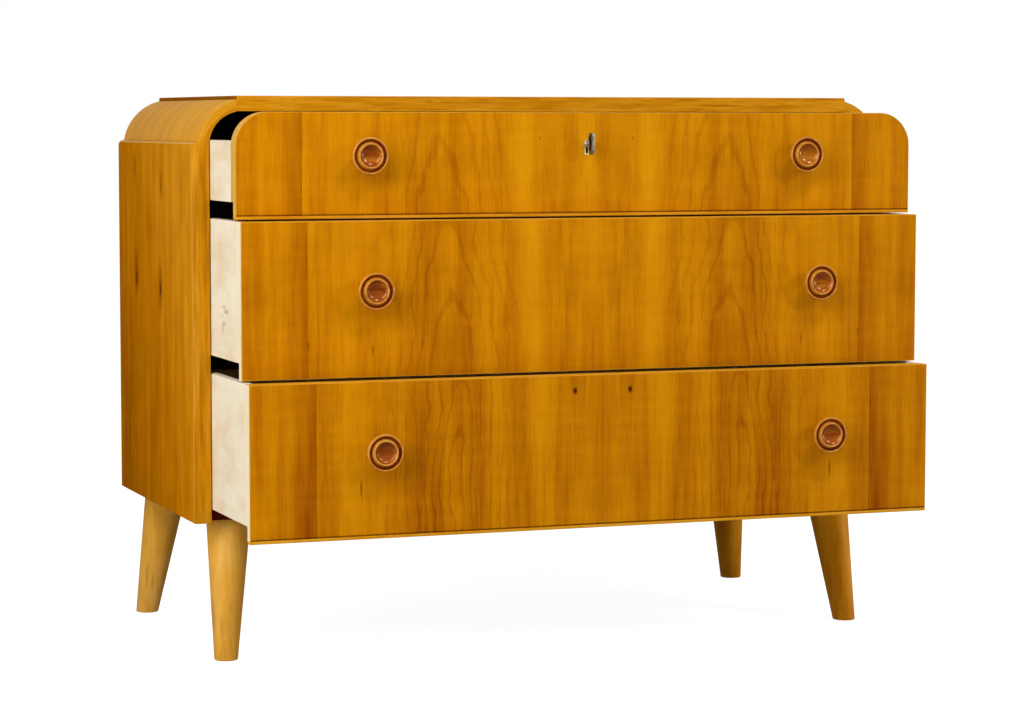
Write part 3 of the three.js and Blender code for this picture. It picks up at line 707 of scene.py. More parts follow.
@dataclass(frozen=True)
class BookMatched(Wood):
    """Veneer leaves matched like an open book, each with a flame figure down its middle.

    Attributes:
        leaf: How wide each inner leaf is, out to the seam with a narrow outer leaf.
        flame: How far the flame's axis stands from the middle seam.
        heart: The height at which the flame's rings close.
        slope: How fast the rings open, in millimetres a millimetre.
        ring: How wide a yearly ring is.
        figure: How dark the rings are on the flame's axis.
        figure_aside: What share of that is left far from the axis.
        figure_edge: From where to where beside the axis the rings grow fainter.
        sway: How far the flame's axis sways.
        wander: How far the rings wander.
        heartwood: How much darker the wood is about the heart.
        heart_aside: How far the heart stands from the flame's axis.
        heart_edge: From where to where beside the heart the wood grows paler.
        ripple: How strong the soft ripples across the grain are.
        painted_light_rise: How much paler the veneer grows with each metre up the chest, as painted light
            that falls off downwards.
        painted_light_height: The height, in metres, at which it has its usual colour.
        shadow: How dark an outer leaf is beside its seam.
        shadow_width: How far from its seam that shadow reaches.
        outer_stain: How much darker the outer leaves are than the inner ones.
        middle_seam: Half width and darkness of the glued seam in the middle.
        outer_seam: The same for the seams beside the outer leaves.
    """

    leaf: float = 389
    flame: float = 196
    heart: float = 235
    slope: float = 0.135
    ring: float = 13
    figure: float = 0.075
    figure_aside: float = 0.25
    figure_edge: tuple[float, float] = (30, 120)
    sway: float = 50
    wander: float = 16
    heartwood: float = 0.09
    heart_aside: float = 20
    heart_edge: tuple[float, float] = (20, 100)
    ripple: float = 0.12
    painted_light_rise: float = 0.13
    painted_light_height: float = 0.48
    shadow: float = 0.15
    shadow_width: float = 60
    outer_stain: float = 0.06
    middle_seam: tuple[float, float] = (0.35, 0.08)
    outer_seam: tuple[float, float] = (0.45, 0.14)

    # Moves the grain of the outer leaves, so that it breaks at the seam.
    OUTER_SHIFT = (0.83, 0.2, 0.11)
    # From where to where in its wave a ring's dark line sets in.
    LINE_EDGE = (0.5, 1.0)
    SWAY = Threads(90, 130, 21)
    WANDER = Threads(40, 60, 27)
    RIPPLES = Threads(60, 11, 33, 4)

    def place(self, recipe: Recipe) -> Socket:
        """Reads the place on the leaves, folded over at the middle seam.

        Args:
            recipe: The material's nodes.

        Returns:
            The place, the same on both sides of the seam.
        """
        straight = super().place(recipe)
        across, along = (recipe.add("SeparateXYZ", straight, output=axis) for axis in "XZ")
        folded = recipe.add("Math", across, operation="ABSOLUTE")
        return recipe.add("CombineXYZ", folded, 0.0, along)

    def flame_tone(
        self, recipe: Recipe, place: Socket, folded: Socket, height: Socket
    ) -> tuple[Socket, Socket]:
        """Draws the flame: rings that are cones about the heart, cut by the leaf in pointed arches.

        Args:
            recipe: The material's nodes.
            place: The place on the leaves.
            folded: How far it lies from the middle seam.
            height: Its height.

        Returns:
            How dark the rings are there, and how dark the heartwood is.
        """
        sway = recipe.threads(place, self.SWAY, self.offset)
        aside = recipe.add("Math", sway, self.sway * MM, folded, operation="MULTIPLY_ADD")
        aside = recipe.add("Math", aside, (self.flame + self.sway / 2) * MM, operation="SUBTRACT")
        depth = recipe.add(
            "Math", height, self.slope, -self.heart * self.slope * MM, operation="MULTIPLY_ADD"
        )
        arch = recipe.add("CombineXYZ", aside, depth)
        radius = recipe.add("VectorMath", arch, output="Value", operation="LENGTH")
        wander = recipe.threads(place, self.WANDER, self.offset)
        radius = recipe.add("Math", wander, self.wander * MM, radius, operation="MULTIPLY_ADD")
        turns = recipe.add("Math", radius, math.tau / (self.ring * MM), operation="MULTIPLY")
        wave = recipe.add("Math", turns, operation="SINE")
        line = recipe.add("MapRange", wave, *self.LINE_EDGE, 0.0, 1.0, interpolation_type="SMOOTHERSTEP")
        away = recipe.add("Math", aside, operation="ABSOLUTE")
        near = recipe.add(
            "MapRange", away, *(edge * MM for edge in self.figure_edge), self.figure,
            self.figure * self.figure_aside, interpolation_type="SMOOTHSTEP",
        )
        rings = recipe.add("Math", line, near, operation="MULTIPLY")
        beyond = recipe.add("Math", aside, self.heart_aside * MM, operation="SUBTRACT")
        beyond = recipe.add("Math", beyond, operation="ABSOLUTE")
        core = recipe.add(
            "MapRange", beyond, *(edge * MM for edge in self.heart_edge), self.heartwood, 0.0,
            interpolation_type="SMOOTHSTEP",
        )
        return rings, core

    def tone(self, recipe: Recipe, place: Socket) -> Socket:
        """Draws the flame, the ripples and the seams into the tone of the threads.

        Args:
            recipe: The material's nodes.
            place: The place on the leaves.

        Returns:
            The tone.
        """
        folded, height = (recipe.add("SeparateXYZ", place, output=axis) for axis in "XZ")
        outer = recipe.add("Math", folded, self.leaf * MM, operation="GREATER_THAN")
        moved = recipe.add("VectorMath", outer, self.OUTER_SHIFT, place, operation="MULTIPLY_ADD")
        tone = super().tone(recipe, moved)
        rings, core = self.flame_tone(recipe, place, folded, height)
        inner = recipe.add("Math", 1.0, outer, operation="SUBTRACT")
        rings = recipe.add("Math", rings, inner, operation="MULTIPLY")
        tone = recipe.add("Math", tone, rings, operation="SUBTRACT")
        tone = recipe.add("Math", tone, core, operation="SUBTRACT")
        ripples = recipe.threads(place, self.RIPPLES, self.offset)
        tone = recipe.add("Math", ripples, self.ripple, tone, operation="MULTIPLY_ADD")
        # Painted light: the veneer is paler higher up the chest.
        tone = recipe.add("Math", height, self.painted_light_rise, tone, operation="MULTIPLY_ADD")
        usual = self.ripple / 2 + self.painted_light_rise * self.painted_light_height
        tone = recipe.add("Math", tone, usual, operation="SUBTRACT")
        beside = recipe.add(
            "MapRange", folded, self.leaf * MM, (self.leaf + self.shadow_width) * MM, self.shadow, 0.0,
            interpolation_type="SMOOTHSTEP",
        )
        beside = recipe.add("Math", beside, self.outer_stain, operation="ADD")
        beside = recipe.add("Math", beside, outer, operation="MULTIPLY")
        tone = recipe.add("Math", tone, beside, operation="SUBTRACT")
        for seam, (half_width, dark) in ((0, self.middle_seam), (self.leaf, self.outer_seam)):
            gap = recipe.add("Math", folded, seam * MM, half_width * MM, operation="COMPARE")
            tone = recipe.add("Math", gap, -dark, tone, operation="MULTIPLY_ADD")
        return tone


@dataclass(frozen=True)
class SideVeneer(Wood):
    """Veneer on a case side, paler towards the front and the top, as painted light where it is lit more.

    Attributes:
        painted_light_front: How much paler it grows with each metre towards the front, as painted light.
        middle_depth: Where, from front to back, it has its usual colour.
        painted_light_rise: How much paler it grows with each metre upwards, as painted light.
        middle_height: The height at which it has its usual colour.
    """

    painted_light_front: float = 0.4
    middle_depth: float = 110
    painted_light_rise: float = 0.32
    middle_height: float = 430

    def tone(self, recipe: Recipe, place: Socket) -> Socket:
        """Makes the tone of the threads paler towards the front and the top, as painted light.

        Args:
            recipe: The material's nodes.
            place: The place on the side.

        Returns:
            The tone.
        """
        tone = super().tone(recipe, place)
        # Painted light: paler towards the front and the top, where the side is lit more.
        for axis, change, middle in (
            ("X", -self.painted_light_front, self.middle_depth), ("Z", self.painted_light_rise, self.middle_height),
        ):
            along = recipe.add("SeparateXYZ", place, output=axis)
            shift = recipe.add("Math", along, change, -change * middle * MM, operation="MULTIPLY_ADD")
            tone = recipe.add("Math", tone, shift, operation="ADD")
        return tone


@dataclass(frozen=True)
class BentVeneer(Wood):
    """Veneer bent over a round moulding, its grain running round the curve.

    Attributes:
        centre_x: How far the moulding's axis stands from the chest's middle.
        centre_z: How high it stands.
        radius: The moulding's radius.
    """

    centre_x: float = 424
    centre_z: float = 670
    radius: float = 69

    def spoke(self, recipe: Recipe) -> tuple[Socket, Socket, Socket]:
        """Measures the place from the moulding's axis.

        Args:
            recipe: The material's nodes.

        Returns:
            How far it lies out from the axis, above it and along it.
        """
        here = recipe.add("TexCoord", output="Object")
        side, depth, height = (recipe.add("SeparateXYZ", here, output=axis) for axis in "XYZ")
        out = recipe.add("Math", side, operation="ABSOLUTE")
        out = recipe.add("Math", out, self.centre_x * MM, operation="SUBTRACT")
        rise = recipe.add("Math", height, self.centre_z * MM, operation="SUBTRACT")
        return out, rise, depth

    def place(self, recipe: Recipe) -> Socket:
        """Reads the place as across the moulding and round its curve.

        Args:
            recipe: The material's nodes.

        Returns:
            The place.
        """
        out, rise, depth = self.spoke(recipe)
        angle = recipe.add("Math", rise, out, operation="ARCTAN2")
        round_it = recipe.add("Math", angle, self.radius * MM, operation="MULTIPLY")
        return recipe.add("CombineXYZ", depth, 0.0, round_it)


@dataclass(frozen=True)
class FrontBand(BentVeneer):
    """The case's front edge, whose grain runs up the side and on round the moulding."""

    def place(self, recipe: Recipe) -> Socket:
        """Reads the place as across the band and along it.

        Args:
            recipe: The material's nodes.

        Returns:
            The place.
        """
        out, rise, _ = self.spoke(recipe)
        above = recipe.add("Math", rise, 0.0, operation="MAXIMUM")
        spoke = recipe.add("CombineXYZ", out, above)
        across = recipe.add("VectorMath", spoke, output="Value", operation="LENGTH")
        angle = recipe.add("Math", above, out, operation="ARCTAN2")
        below = recipe.add("Math", rise, 0.0, operation="MINIMUM")
        along = recipe.add("Math", angle, self.radius * MM, below, operation="MULTIPLY_ADD")
        return recipe.add("CombineXYZ", across, 0.0, along)


@dataclass(frozen=True)
class Metal:
    """A plain metal, dulled by handling, with fine scratches.

    Attributes:
        name: The material's name.
        bright: Its colour where it is rubbed.
        dull: Its colour where it is tarnished.
        roughness: How rough it is where it is rubbed.
        tarnish: How much rougher it is where it is tarnished.
        cloud: How many clouds of tarnish there are to a metre.
    """

    name: str
    bright: str
    dull: str
    roughness: float = 0.32
    tarnish: float = 0.2
    cloud: float = 160

    SCRATCHES = Threads(0.5, 6, 2, 2)
    # From where to where in the clouds the colour and the roughness change.
    COLOUR_EDGE = (0.38, 0.62)
    ROUGH_EDGE = (0.3, 0.7)
    RELIEF = 0.01

    def build(self) -> Finish:
        """Makes the material.

        Returns:
            The finished material.
        """
        recipe = Recipe(bpy.data.materials.new(self.name))
        here = recipe.add("TexCoord", output="Object")
        cloud = recipe.add("TexNoise", named={"Vector": here, "Scale": self.cloud, "Detail": 5})
        colour = recipe.add("ValToRGB", cloud, stops=tuple(zip(self.COLOUR_EDGE, (self.dull, self.bright))))
        roughness = recipe.add(
            "MapRange", cloud, *self.ROUGH_EDGE, self.roughness + self.tarnish, self.roughness
        )
        return recipe.surface(
            colour, roughness, recipe.threads(here, self.SCRATCHES), self.RELIEF, Metallic=1.0
        )


def made(recipe: Wood | Metal) -> Finish:
    """Has a finish made once, when the chest's finishes are."""
    return field(default_factory=recipe.build)


@dataclass
class Finishes:
    """The chest's materials, each made once."""

    # Elm veneer, stained and oiled: orange brown with faint flame arches in matched leaves.
    front: Finish = made(BookMatched(
        "elm_veneer_book_matched", "#884000", "#C27C03", "#DA980C", band=34, contrast=0.86, offset=1.0,
        specular=0.05, roughness=0.5, pores=0.15, mottle=0.16,
        knots=(
            Knot(38.7, 360.4, 2.2, 3.4), Knot(329.5, 245, 1.0, 7.5, 0.6), Knot(388, 425, 1.0, 5, 0.5),
            Knot(302.6, 418, 1.0, 5, 0.4), Knot(65.7, 687.4, 0.9, 0.9, 0.7),
            # The dark glue lines above the solid strips of two fronts.
            Knot(0, 590.1, 2000, 0.85, 0.75), Knot(0, 185.6, 2000, 0.85, 0.75),
        ),
    ))
    # The same veneer on the case sides, darker, with smoky knots, and paler to the front and top as painted
    # light.
    side: Finish = made(SideVeneer(
        "elm_veneer_case_side", "#783800", "#B46F04", "#D29622", Grain.SIDE_UPRIGHT, band=22,
        contrast=0.62, specular=0.0, pores=0.08, mottle=0.2, offset=4.0, knot_colour="#5A1A00",
        knots=(
            Knot(203, 497, 9, 22, 0.5), Knot(62, 487, 9, 24, 0.5),
            Knot(201.4, 490, 3.6, 10, 1.0), Knot(62.5, 482, 3.4, 11, 1.0),
            Knot(209.4, 646, 7, 14, 0.35), Knot(56.2, 624, 7, 14, 0.35),
            Knot(209.4, 640, 2.2, 5, 0.6), Knot(56.2, 620, 2.2, 6, 0.6),
        ),
    ))
    # The band that shows from the front: veneer cut in one strip up the side and round.
    band: Finish = made(FrontBand(
        "elm_front_band", "#824204", "#BC7C0C", "#D89E30", band=8, specular=0.0, pores=0.2, offset=5.0,
    ))
    # Edges paler than the veneer: partly wear from hands, partly painted highlight where they catch the
    # light.
    arris: Finish = made(Wood(
        "elm_arris_wear_and_painted_highlight", "#A87212", "#C48E28", "#D6A840", band=10, contrast=0.7, specular=0.04,
        offset=5.5,
    ))
    # Elm veneer laid along the top, oiled a little glossier than the fronts.
    top: Finish = made(Wood(
        "elm_veneer_top", "#8C4200", "#C67C02", "#DE9A0C", Grain.PANEL, contrast=0.9, specular=0.1,
        offset=2.0,
    ))
    # Straight elm on the top's front edge, cut with the grain.
    top_edge: Finish = made(Wood(
        "elm_top_edge", "#844402", "#C8840C", "#DCA02A", Grain.RAIL, band=6, specular=0.05, offset=6.0,
    ))
    # End grain drinks stain, so it is dark and plain; it is painted darker still, as painted shade on the
    # top's ends.
    end_grain_and_painted_shade: Finish = made(Wood(
        "elm_end_grain", "#4E2A04", "#86500A", "#A46C1C", Grain.RAIL, band=4, specular=0.0, offset=6.5,
    ))
    # Elm veneer bent round the corners: the grain follows the curve.
    moulding: Finish = made(BentVeneer(
        "elm_veneer_bent", "#94560A", "#C68C1E", "#D8A640", band=38, contrast=0.6, specular=0.03,
        pores=0.12, mottle=0.12, offset=3.0,
    ))
    # Inside the case the boards are painted nearly black, as painted shade.
    inside: Finish = made(Wood(
        "inside_painted_shade", "#010000", "#030201", "#070302", Grain.PANEL, roughness=0.7,
        specular=0.0, offset=17.0,
    ))
    # The back's outer face is bare plywood, browned by age: rotary cut, so its grain is broad.
    back: Finish = made(Wood(
        "aged_back_plywood", "#7A4A1E", "#A87440", "#BE9058", Grain.RAIL, band=70, contrast=0.9,
        roughness=0.65, specular=0.05, mottle=0.2, offset=17.5,
    ))
    # Solid lipping: paler and plainer than the veneer it guards.
    lipping: Finish = made(Wood(
        "elm_lipping", "#9C5C08", "#CE8E18", "#E0AC40", Grain.RAIL, band=8, contrast=0.8,
        specular=0.06, offset=7.0,
    ))
    # The ends of the top front show golden through thin lacquer.
    gold_lipping: Finish = made(Wood(
        "elm_end_lipping", "#A87418", "#C89C40", "#DCBC70", band=6, contrast=0.8, specular=0.06,
        offset=7.5,
    ))
    # The other fronts' ends are lipped with plain pale birch.
    end_lipping: Finish = made(Wood(
        "birch_end_lipping", "#D0B68E", "#E4D6B6", "#ECE0CA", band=8, contrast=0.6, specular=0.1,
        offset=8.0,
    ))
    # The unstained back of a front: plain sanded birch.
    ground: Finish = made(Wood(
        "birch_front_back", "#C9AC78", "#E2CDA2", "#EBDCBA", Grain.RAIL, contrast=0.7, roughness=0.6,
        specular=0.1, offset=9.0,
    ))
    # Turned beech legs under clear lacquer: the right pair is painted darker amber, as painted shade under
    # the drawers.
    beech: Finish = made(Wood(
        "beech_leg_painted_shade", "#7C3600", "#C88212", "#E0AE44", band=24, contrast=0.8,
        roughness=0.4, specular=0.06, pores=0.06, mottle=0.08, offset=10.0,
    ))
    # The left pair is painted paler, as painted light from the left, with a curl of brown grain low on its
    # back leg.
    beech_painted_light: Finish = made(Wood(
        "beech_leg_painted_light", "#9C5A06", "#D69E3A", "#E8C27C", band=24, contrast=0.7,
        roughness=0.4, specular=0.08, pores=0.06, mottle=0.1, offset=10.3, knot_colour="#96601C",
        knots=(Knot(-470, 58, 1.2, 15, 0.45), Knot(-463, 46, 0.9, 9, 0.4)),
    ))
    # Turned birch knobs, stained red brown and lacquered to a gloss.
    knob: Finish = made(Wood(
        "stained_birch_knob", "#7A3804", "#B4761C", "#D09E40", Grain.RAIL, band=10, contrast=0.8,
        roughness=0.3, specular=0.8, gloss="#FFB070", coat=0.2, coat_roughness=0.15, pores=0.1,
        offset=11.0,
    ))
    # The groove and the dish are painted darker than the rim, as painted shade in the knob's hollows.
    knob_groove: Finish = made(Wood(
        "knob_groove_painted_shade", "#501800", "#7C3204", "#964C10", Grain.RAIL, band=10, roughness=0.4,
        specular=0.2, offset=11.5,
    ))
    knob_dish: Finish = made(Wood(
        "knob_dish_painted_shade", "#5A0800", "#8A4000", "#B06E04", Grain.RAIL, band=12, contrast=1.3,
        roughness=0.2, specular=0.6, gloss="#FFC080", pores=0.1, offset=11.8,
    ))
    # Birch drawer boards, sanded bare: creamy, with a few tan clouds.
    box_left: Finish = made(Wood(
        "birch_drawer_left_side", "#CEAC7C", "#E2D8C0", "#ECE6D8", Grain.DRAWER_SIDE, band=40,
        contrast=0.5, roughness=0.6, specular=0.05, pores=0.0, mottle=0.4, offset=12.0,
        knot_colour="#A86A34",
        knots=(
            Knot(443, -172, 5, 2.2, 0.5), Knot(450, -177, 2.4, 6, 0.5), Knot(466, -188, 2.2, 8, 0.55),
            Knot(472, -178, 1.6, 7, 0.4), Knot(460, -170, 1.4, 5, 0.35),
        ),
    ))
    # The right sides are of the same birch, without a knot.
    box_right: Finish = made(Wood(
        "birch_drawer_right_side", "#CEAC7C", "#E2D8C0", "#ECE6D8", Grain.DRAWER_SIDE, band=40,
        contrast=0.5, roughness=0.6, specular=0.05, pores=0.0, mottle=0.4, offset=12.5,
    ))
    # The backs are birch too, a little yellower, with long grain.
    box_back: Finish = made(Wood(
        "birch_drawer_back", "#D0B888", "#E9DABA", "#F0E6D0", Grain.RAIL, contrast=0.7,
        roughness=0.6, specular=0.1, pores=0.08, mottle=0.3, offset=13.0,
    ))
    # Birch plywood: rotary cut, so its grain is broad and wavy.
    ply: Finish = made(Wood(
        "birch_plywood", "#C4A878", "#DEC79C", "#E8D6B2", Grain.PANEL, band=60, roughness=0.65,
        specular=0.1, offset=14.0,
    ))
    # Frame rails of pine, painted near black, as painted shade inside the case.
    rail: Finish = made(Wood(
        "pine_rail_painted_shade", "#060201", "#0E0502", "#180804", Grain.RAIL, roughness=0.6,
        specular=0.0, offset=15.0,
    ))
    # The runners and kickers behind them are painted darker still, as painted shade.
    runner: Finish = made(Wood(
        "pine_runner_painted_shade", "#040100", "#0A0402", "#120603", Grain.PANEL, roughness=0.6,
        specular=0.0, offset=16.0,
    ))
    # The case's bottom board, stained the red of mahogany and painted dark, as painted shade under the
    # drawers.
    base: Finish = made(Wood(
        "bottom_board_stain_and_painted_shade", "#240500", "#5A1404", "#74220A", Grain.RAIL, roughness=0.6,
        specular=0.05, offset=16.5,
    ))
    # Cast brass, rubbed pale by the key.
    brass: Finish = made(Metal("handled_brass", "#F4E8A8", "#C8B060", 0.4))
    # Brass plate that no hand reaches, brown with age.
    dull_brass: Finish = made(Metal("tarnished_brass", "#5A4418", "#2A1E0A", 0.5))
    # Drawn steel with a grey film of age.
    steel: Finish = made(Metal("aged_steel", "#B8B2A4", "#5C584C", 0.3))
    # Near-black steel: painted shade inside the keyhole and the bow's eye.
    hollow_painted_shade: Finish = made(Metal("steel_painted_shade", "#2A261C", "#100E08", 0.5))


# The chest's pieces


@dataclass
class Case:
    """The carcase: two sides, a round moulding over each and the raised top between them.

    Attributes:
        finishes: The chest's materials.
        arris: The rounding of the sides' front edges.
        shoulder: The rounding of their top edges, beside the mouldings.
        painted_shoulder_highlight: From where to where, by how far up it looks, a shoulder face is painted
            pale, as painted highlight.
        foot_arris: The rounding of their lower outer edges.
        toe: The rounding of their lower inner edges.
        housing: How deep the frames are let into a side.
        gap: The play round a housed rail.
        moulding_radius: The outer radius of a moulding.
        opening_radius: The radius of the opening's upper corners.
        rebate_radius: The radius of the back rebate's upper corners.
        rebate_depth: How deep the back panel lies in its rebate.
        axis_inset: How far the corners' axis stands in from the side's outer face.
        axis_drop: How far it lies below the raised top's upper face.
        top_arris: The rounding of the raised top's edges.
        bullnose: The rounding of a moulding's front edge.
        strike: The room round the lock bolt in the top.
        strike_depth: How deep the bolt's mortise is.
        bolt_width: How wide the lock bolt is.
        joint: How far a moulding reaches into the gap beside the raised top.
    """

    finishes: Finishes
    arris: float = 3 * MM
    shoulder: float = 7.3 * MM
    painted_shoulder_highlight: tuple[float, float] = (0.55, 0.98)
    foot_arris: float = 2 * MM
    toe: float = 5 * MM
    housing: float = 6.2 * MM
    gap: float = 0.2 * MM
    moulding_radius: float = 69 * MM
    opening_radius: float = 45 * MM
    rebate_radius: float = 53 * MM
    rebate_depth: float = 7 * MM
    axis_inset: float = 76 * MM
    axis_drop: float = 72 * MM
    top_arris: float = 1.5 * MM
    bullnose: float = 1.2 * MM
    strike: float = 1.5 * MM
    strike_depth: float = 10 * MM
    bolt_width: float = 24 * MM
    joint: float = 0.25 * MM

    def side(self) -> Piece:
        """Makes the right side, with its housings and back rebate.

        Returns:
            The finished side.
        """
        low, high = span("side_right")
        side = board("side_right_veneered", low, high)
        dress(side, self.finishes.side, self.finishes.band, self.finishes.inside, self.finishes.arris)
        round_edges(side, self.shoulder, {"x": high.x, "z": high.z}, segments=10)
        round_edges(side, self.foot_arris, {"x": high.x, "z": low.z}, segments=3)
        round_edges(side, self.toe, {"x": low.x, "z": low.z}, segments=6)
        # Upward-looking shoulder faces take the pale arris finish, as painted highlight; the inner face takes
        # the near-black inside finish, as painted shade.
        face_slots(side, lambda middle, normal: (
            1 if normal.y < -LOOKS else 2 if normal.x < -LOOKS
            else 3 if self.painted_shoulder_highlight[0] < normal.z < self.painted_shoulder_highlight[1] else 0))
        # The front arris takes the paler arris finish: partly wear, partly painted highlight.
        round_edges(side, self.arris, {"x": high.x, "y": low.y}, segments=5, slot=3)
        for rail in ("upper_frame_front_rail", "lower_frame_front_rail", "bottom_panel"):
            rail_low, rail_high = span(rail)
            cut(side, board(
                "housing", Vector((low.x - SPARE, rail_low.y - self.gap, rail_low.z - self.gap)),
                Vector((low.x + self.housing, high.y + SPARE, rail_high.z + self.gap)),
            ))
        panel_low, panel_high = span("back_panel")
        cut(side, board(
            "rebate", Vector((low.x - SPARE, high.y - self.rebate_depth, panel_low.z - self.gap)),
            Vector((panel_high.x + self.gap, high.y + SPARE, high.z + SPARE)),
        ))
        return polish(side)

    def moulding(self) -> Piece:
        """Makes the right corner moulding: a quarter of a round bar, hollowed from within.

        Returns:
            The finished moulding.
        """
        low, high = span("corner_right")
        side_low, side_high = span("side_right")
        top_low, top_high = span("top_panel")
        axis = Vector((side_high.x - self.axis_inset, 0, top_high.z - self.axis_drop))
        moulding = bar(
            "corner_right_moulding", axis + Vector((0, high.y, 0)), axis + Vector((0, low.y, 0)),
            self.moulding_radius, faces=160,
        )
        dress(moulding, self.finishes.moulding, self.finishes.band, self.finishes.inside, self.finishes.arris)
        face_slots(moulding, lambda middle, normal: int(normal.y < -LOOKS))
        # The bullnose takes the paler arris finish: partly wear, partly painted highlight.
        round_edges(moulding, self.bullnose, {"y": low.y}, segments=4, slot=3)
        quarter = board(
            "quarter", low - Vector((self.joint, SPARE, 0)), side_high + Vector((0, SPARE, SPARE * 5))
        )
        cut(moulding, quarter, Cut.SHARED)
        rebate = self.rebate_radius - self.opening_radius
        for inner_x, top_z, radius, front in (
            (side_low.x, top_low.z, self.opening_radius, low.y - SPARE),
            (side_low.x + rebate, top_low.z + rebate, self.rebate_radius, high.y - self.rebate_depth),
        ):
            hollow = board(
                "hollow", Vector((axis.x - radius, front, axis.z - radius)),
                Vector((inner_x, high.y + SPARE, top_z)),
            )
            round_edges(hollow, radius, {"x": inner_x, "z": top_z}, segments=24)
            dress(hollow, *moulding.data.materials)
            # The hollow's faces take the near-black inside finish, as painted shade.
            face_slots(hollow, lambda middle, normal: 2)
            cut(moulding, hollow)
        return polish(moulding, angle=34)

    def top(self) -> Piece:
        """Makes the raised top, with the mortise that the lock bolt enters.

        Returns:
            The finished top.
        """
        low, high = span("top_panel")
        top = board("raised_top", low, high)
        round_edges(
            top, self.top_arris, {"y": low.y, "z": high.z}, {"x": low.x, "z": high.z},
            {"x": high.x, "z": high.z}, segments=3,
        )
        bolt_low, bolt_high = span("lock_bolt")
        half = self.bolt_width / 2 + self.strike
        cut(top, board(
            "strike", Vector((-half, bolt_low.y - self.strike, low.z - SPARE)),
            Vector((half, bolt_high.y + self.strike, low.z + self.strike_depth)),
        ))
        dress(top, self.finishes.top, self.finishes.top_edge, self.finishes.end_grain_and_painted_shade, self.finishes.inside)
        # The underside takes the near-black inside finish, as painted shade; the ends take the dark end
        # grain, partly painted shade.
        face_slots(top, lambda middle, normal: (
            3 if normal.z < -LEANS else 2 if abs(normal.x) > LEANS else int(normal.y < -LEANS)))
        return polish(top)

    def back(self) -> Piece:
        """Makes the back panel, which fills its rebate and is painted near black inside, as painted shade.

        Returns:
            The finished panel.
        """
        low, high = span("back_panel")
        panel = board("back_panel_plywood", low, high)
        round_edges(
            panel, self.rebate_radius - self.gap, {"x": low.x, "z": high.z}, {"x": high.x, "z": high.z},
            segments=24,
        )
        dress(panel, self.finishes.back, self.finishes.inside)
        # The inner face takes the near-black inside finish, as painted shade.
        face_slots(panel, lambda middle, normal: int(normal.y < -LOOKS))
        return polish(panel)

    def build(self) -> None:
        """Makes the case's pieces."""
        side = self.side()
        put_on(copied(side, "side_left_veneered", mirror=True), "case", "elm_veneer", "side_left")
        put_on(side, "case", "elm_veneer", "side_right")
        moulding = self.moulding()
        put_on(copied(moulding, "corner_left_moulding", mirror=True), "case", "elm_moulding", "corner_left")
        put_on(moulding, "case", "elm_moulding", "corner_right")
        put_on(self.top(), "case", "elm_veneer", "top_panel")
        put_on(self.back(), "case", "plywood", "back_panel")


@dataclass
class Leg:
    """A turned leg that slants out from under the case and narrows to its foot.

    Attributes:
        finishes: The chest's materials.
        foot_radius: Its radius at the floor.
        head_radius: Its radius under the case.
        front_splay: How far a front foot stands out and back from its head.
        back_splay: The same for a back foot.
        foot_arris: The rounding of the foot's edge.
        bolt_bore: The radius of the hole for its bolt.
    """

    finishes: Finishes
    foot_radius: float = 15.6 * MM
    head_radius: float = 29.8 * MM
    front_splay: tuple[float, float] = (14 * MM, -36 * MM)
    back_splay: tuple[float, float] = (24 * MM, 28 * MM)
    foot_arris: float = 1.5 * MM
    bolt_bore: float = 4.3 * MM

    def right_leg(self, end: str, splay: tuple[float, float]) -> Piece:
        """Makes the right leg at the front or the back.

        Args:
            end: Which end of the case it stands at, front or back.
            splay: How far its foot stands out and back from its head.

        Returns:
            The leg.
        """
        bolt_low, bolt_high = span(f"leg_bolt_{end}_right")
        head_z = span(f"leg_{end}_right")[1].z
        head = Vector(((bolt_low.x + bolt_high.x) / 2, (bolt_low.y + bolt_high.y) / 2, head_z))
        foot = Vector((head.x + splay[0], head.y + splay[1], 0))
        slope = (head - foot) / head_z
        swell = (self.head_radius - self.foot_radius) / head_z
        leg = bar(
            f"leg_{end}_right_turned", foot - slope * SPARE, head + slope * SPARE,
            self.foot_radius - swell * SPARE, self.head_radius + swell * SPARE, faces=72,
        )
        with on_bench(leg):
            for level, away in ((0, -1), (head_z, 1)):
                bpy.ops.mesh.select_all(action="SELECT")
                bpy.ops.mesh.bisect(
                    plane_co=(0, 0, level), plane_no=(0, 0, away), use_fill=True, clear_outer=True
                )
        round_edges(leg, self.foot_arris, {"z": 0}, segments=3)
        bore_end = Vector((head.x, head.y, bolt_low.z - self.foot_arris))
        cut(leg, bar("bore", bore_end, Vector((head.x, head.y, head_z + SPARE)), self.bolt_bore))
        dress(leg, self.finishes.beech)
        return polish(leg, angle=50)

    def build(self) -> None:
        """Makes the four legs."""
        for end, splay in (("front", self.front_splay), ("back", self.back_splay)):
            leg = self.right_leg(end, splay)
            left_leg = copied(leg, f"leg_{end}_left_turned", mirror=True)
            # The left pair takes the paler finish, painted light; the right keeps the darker one, painted
            # shade.
            dress(left_leg, self.finishes.beech_painted_light)
            put_on(left_leg, "case", "beech", f"leg_{end}_left")
            put_on(leg, "case", "beech", f"leg_{end}_right")


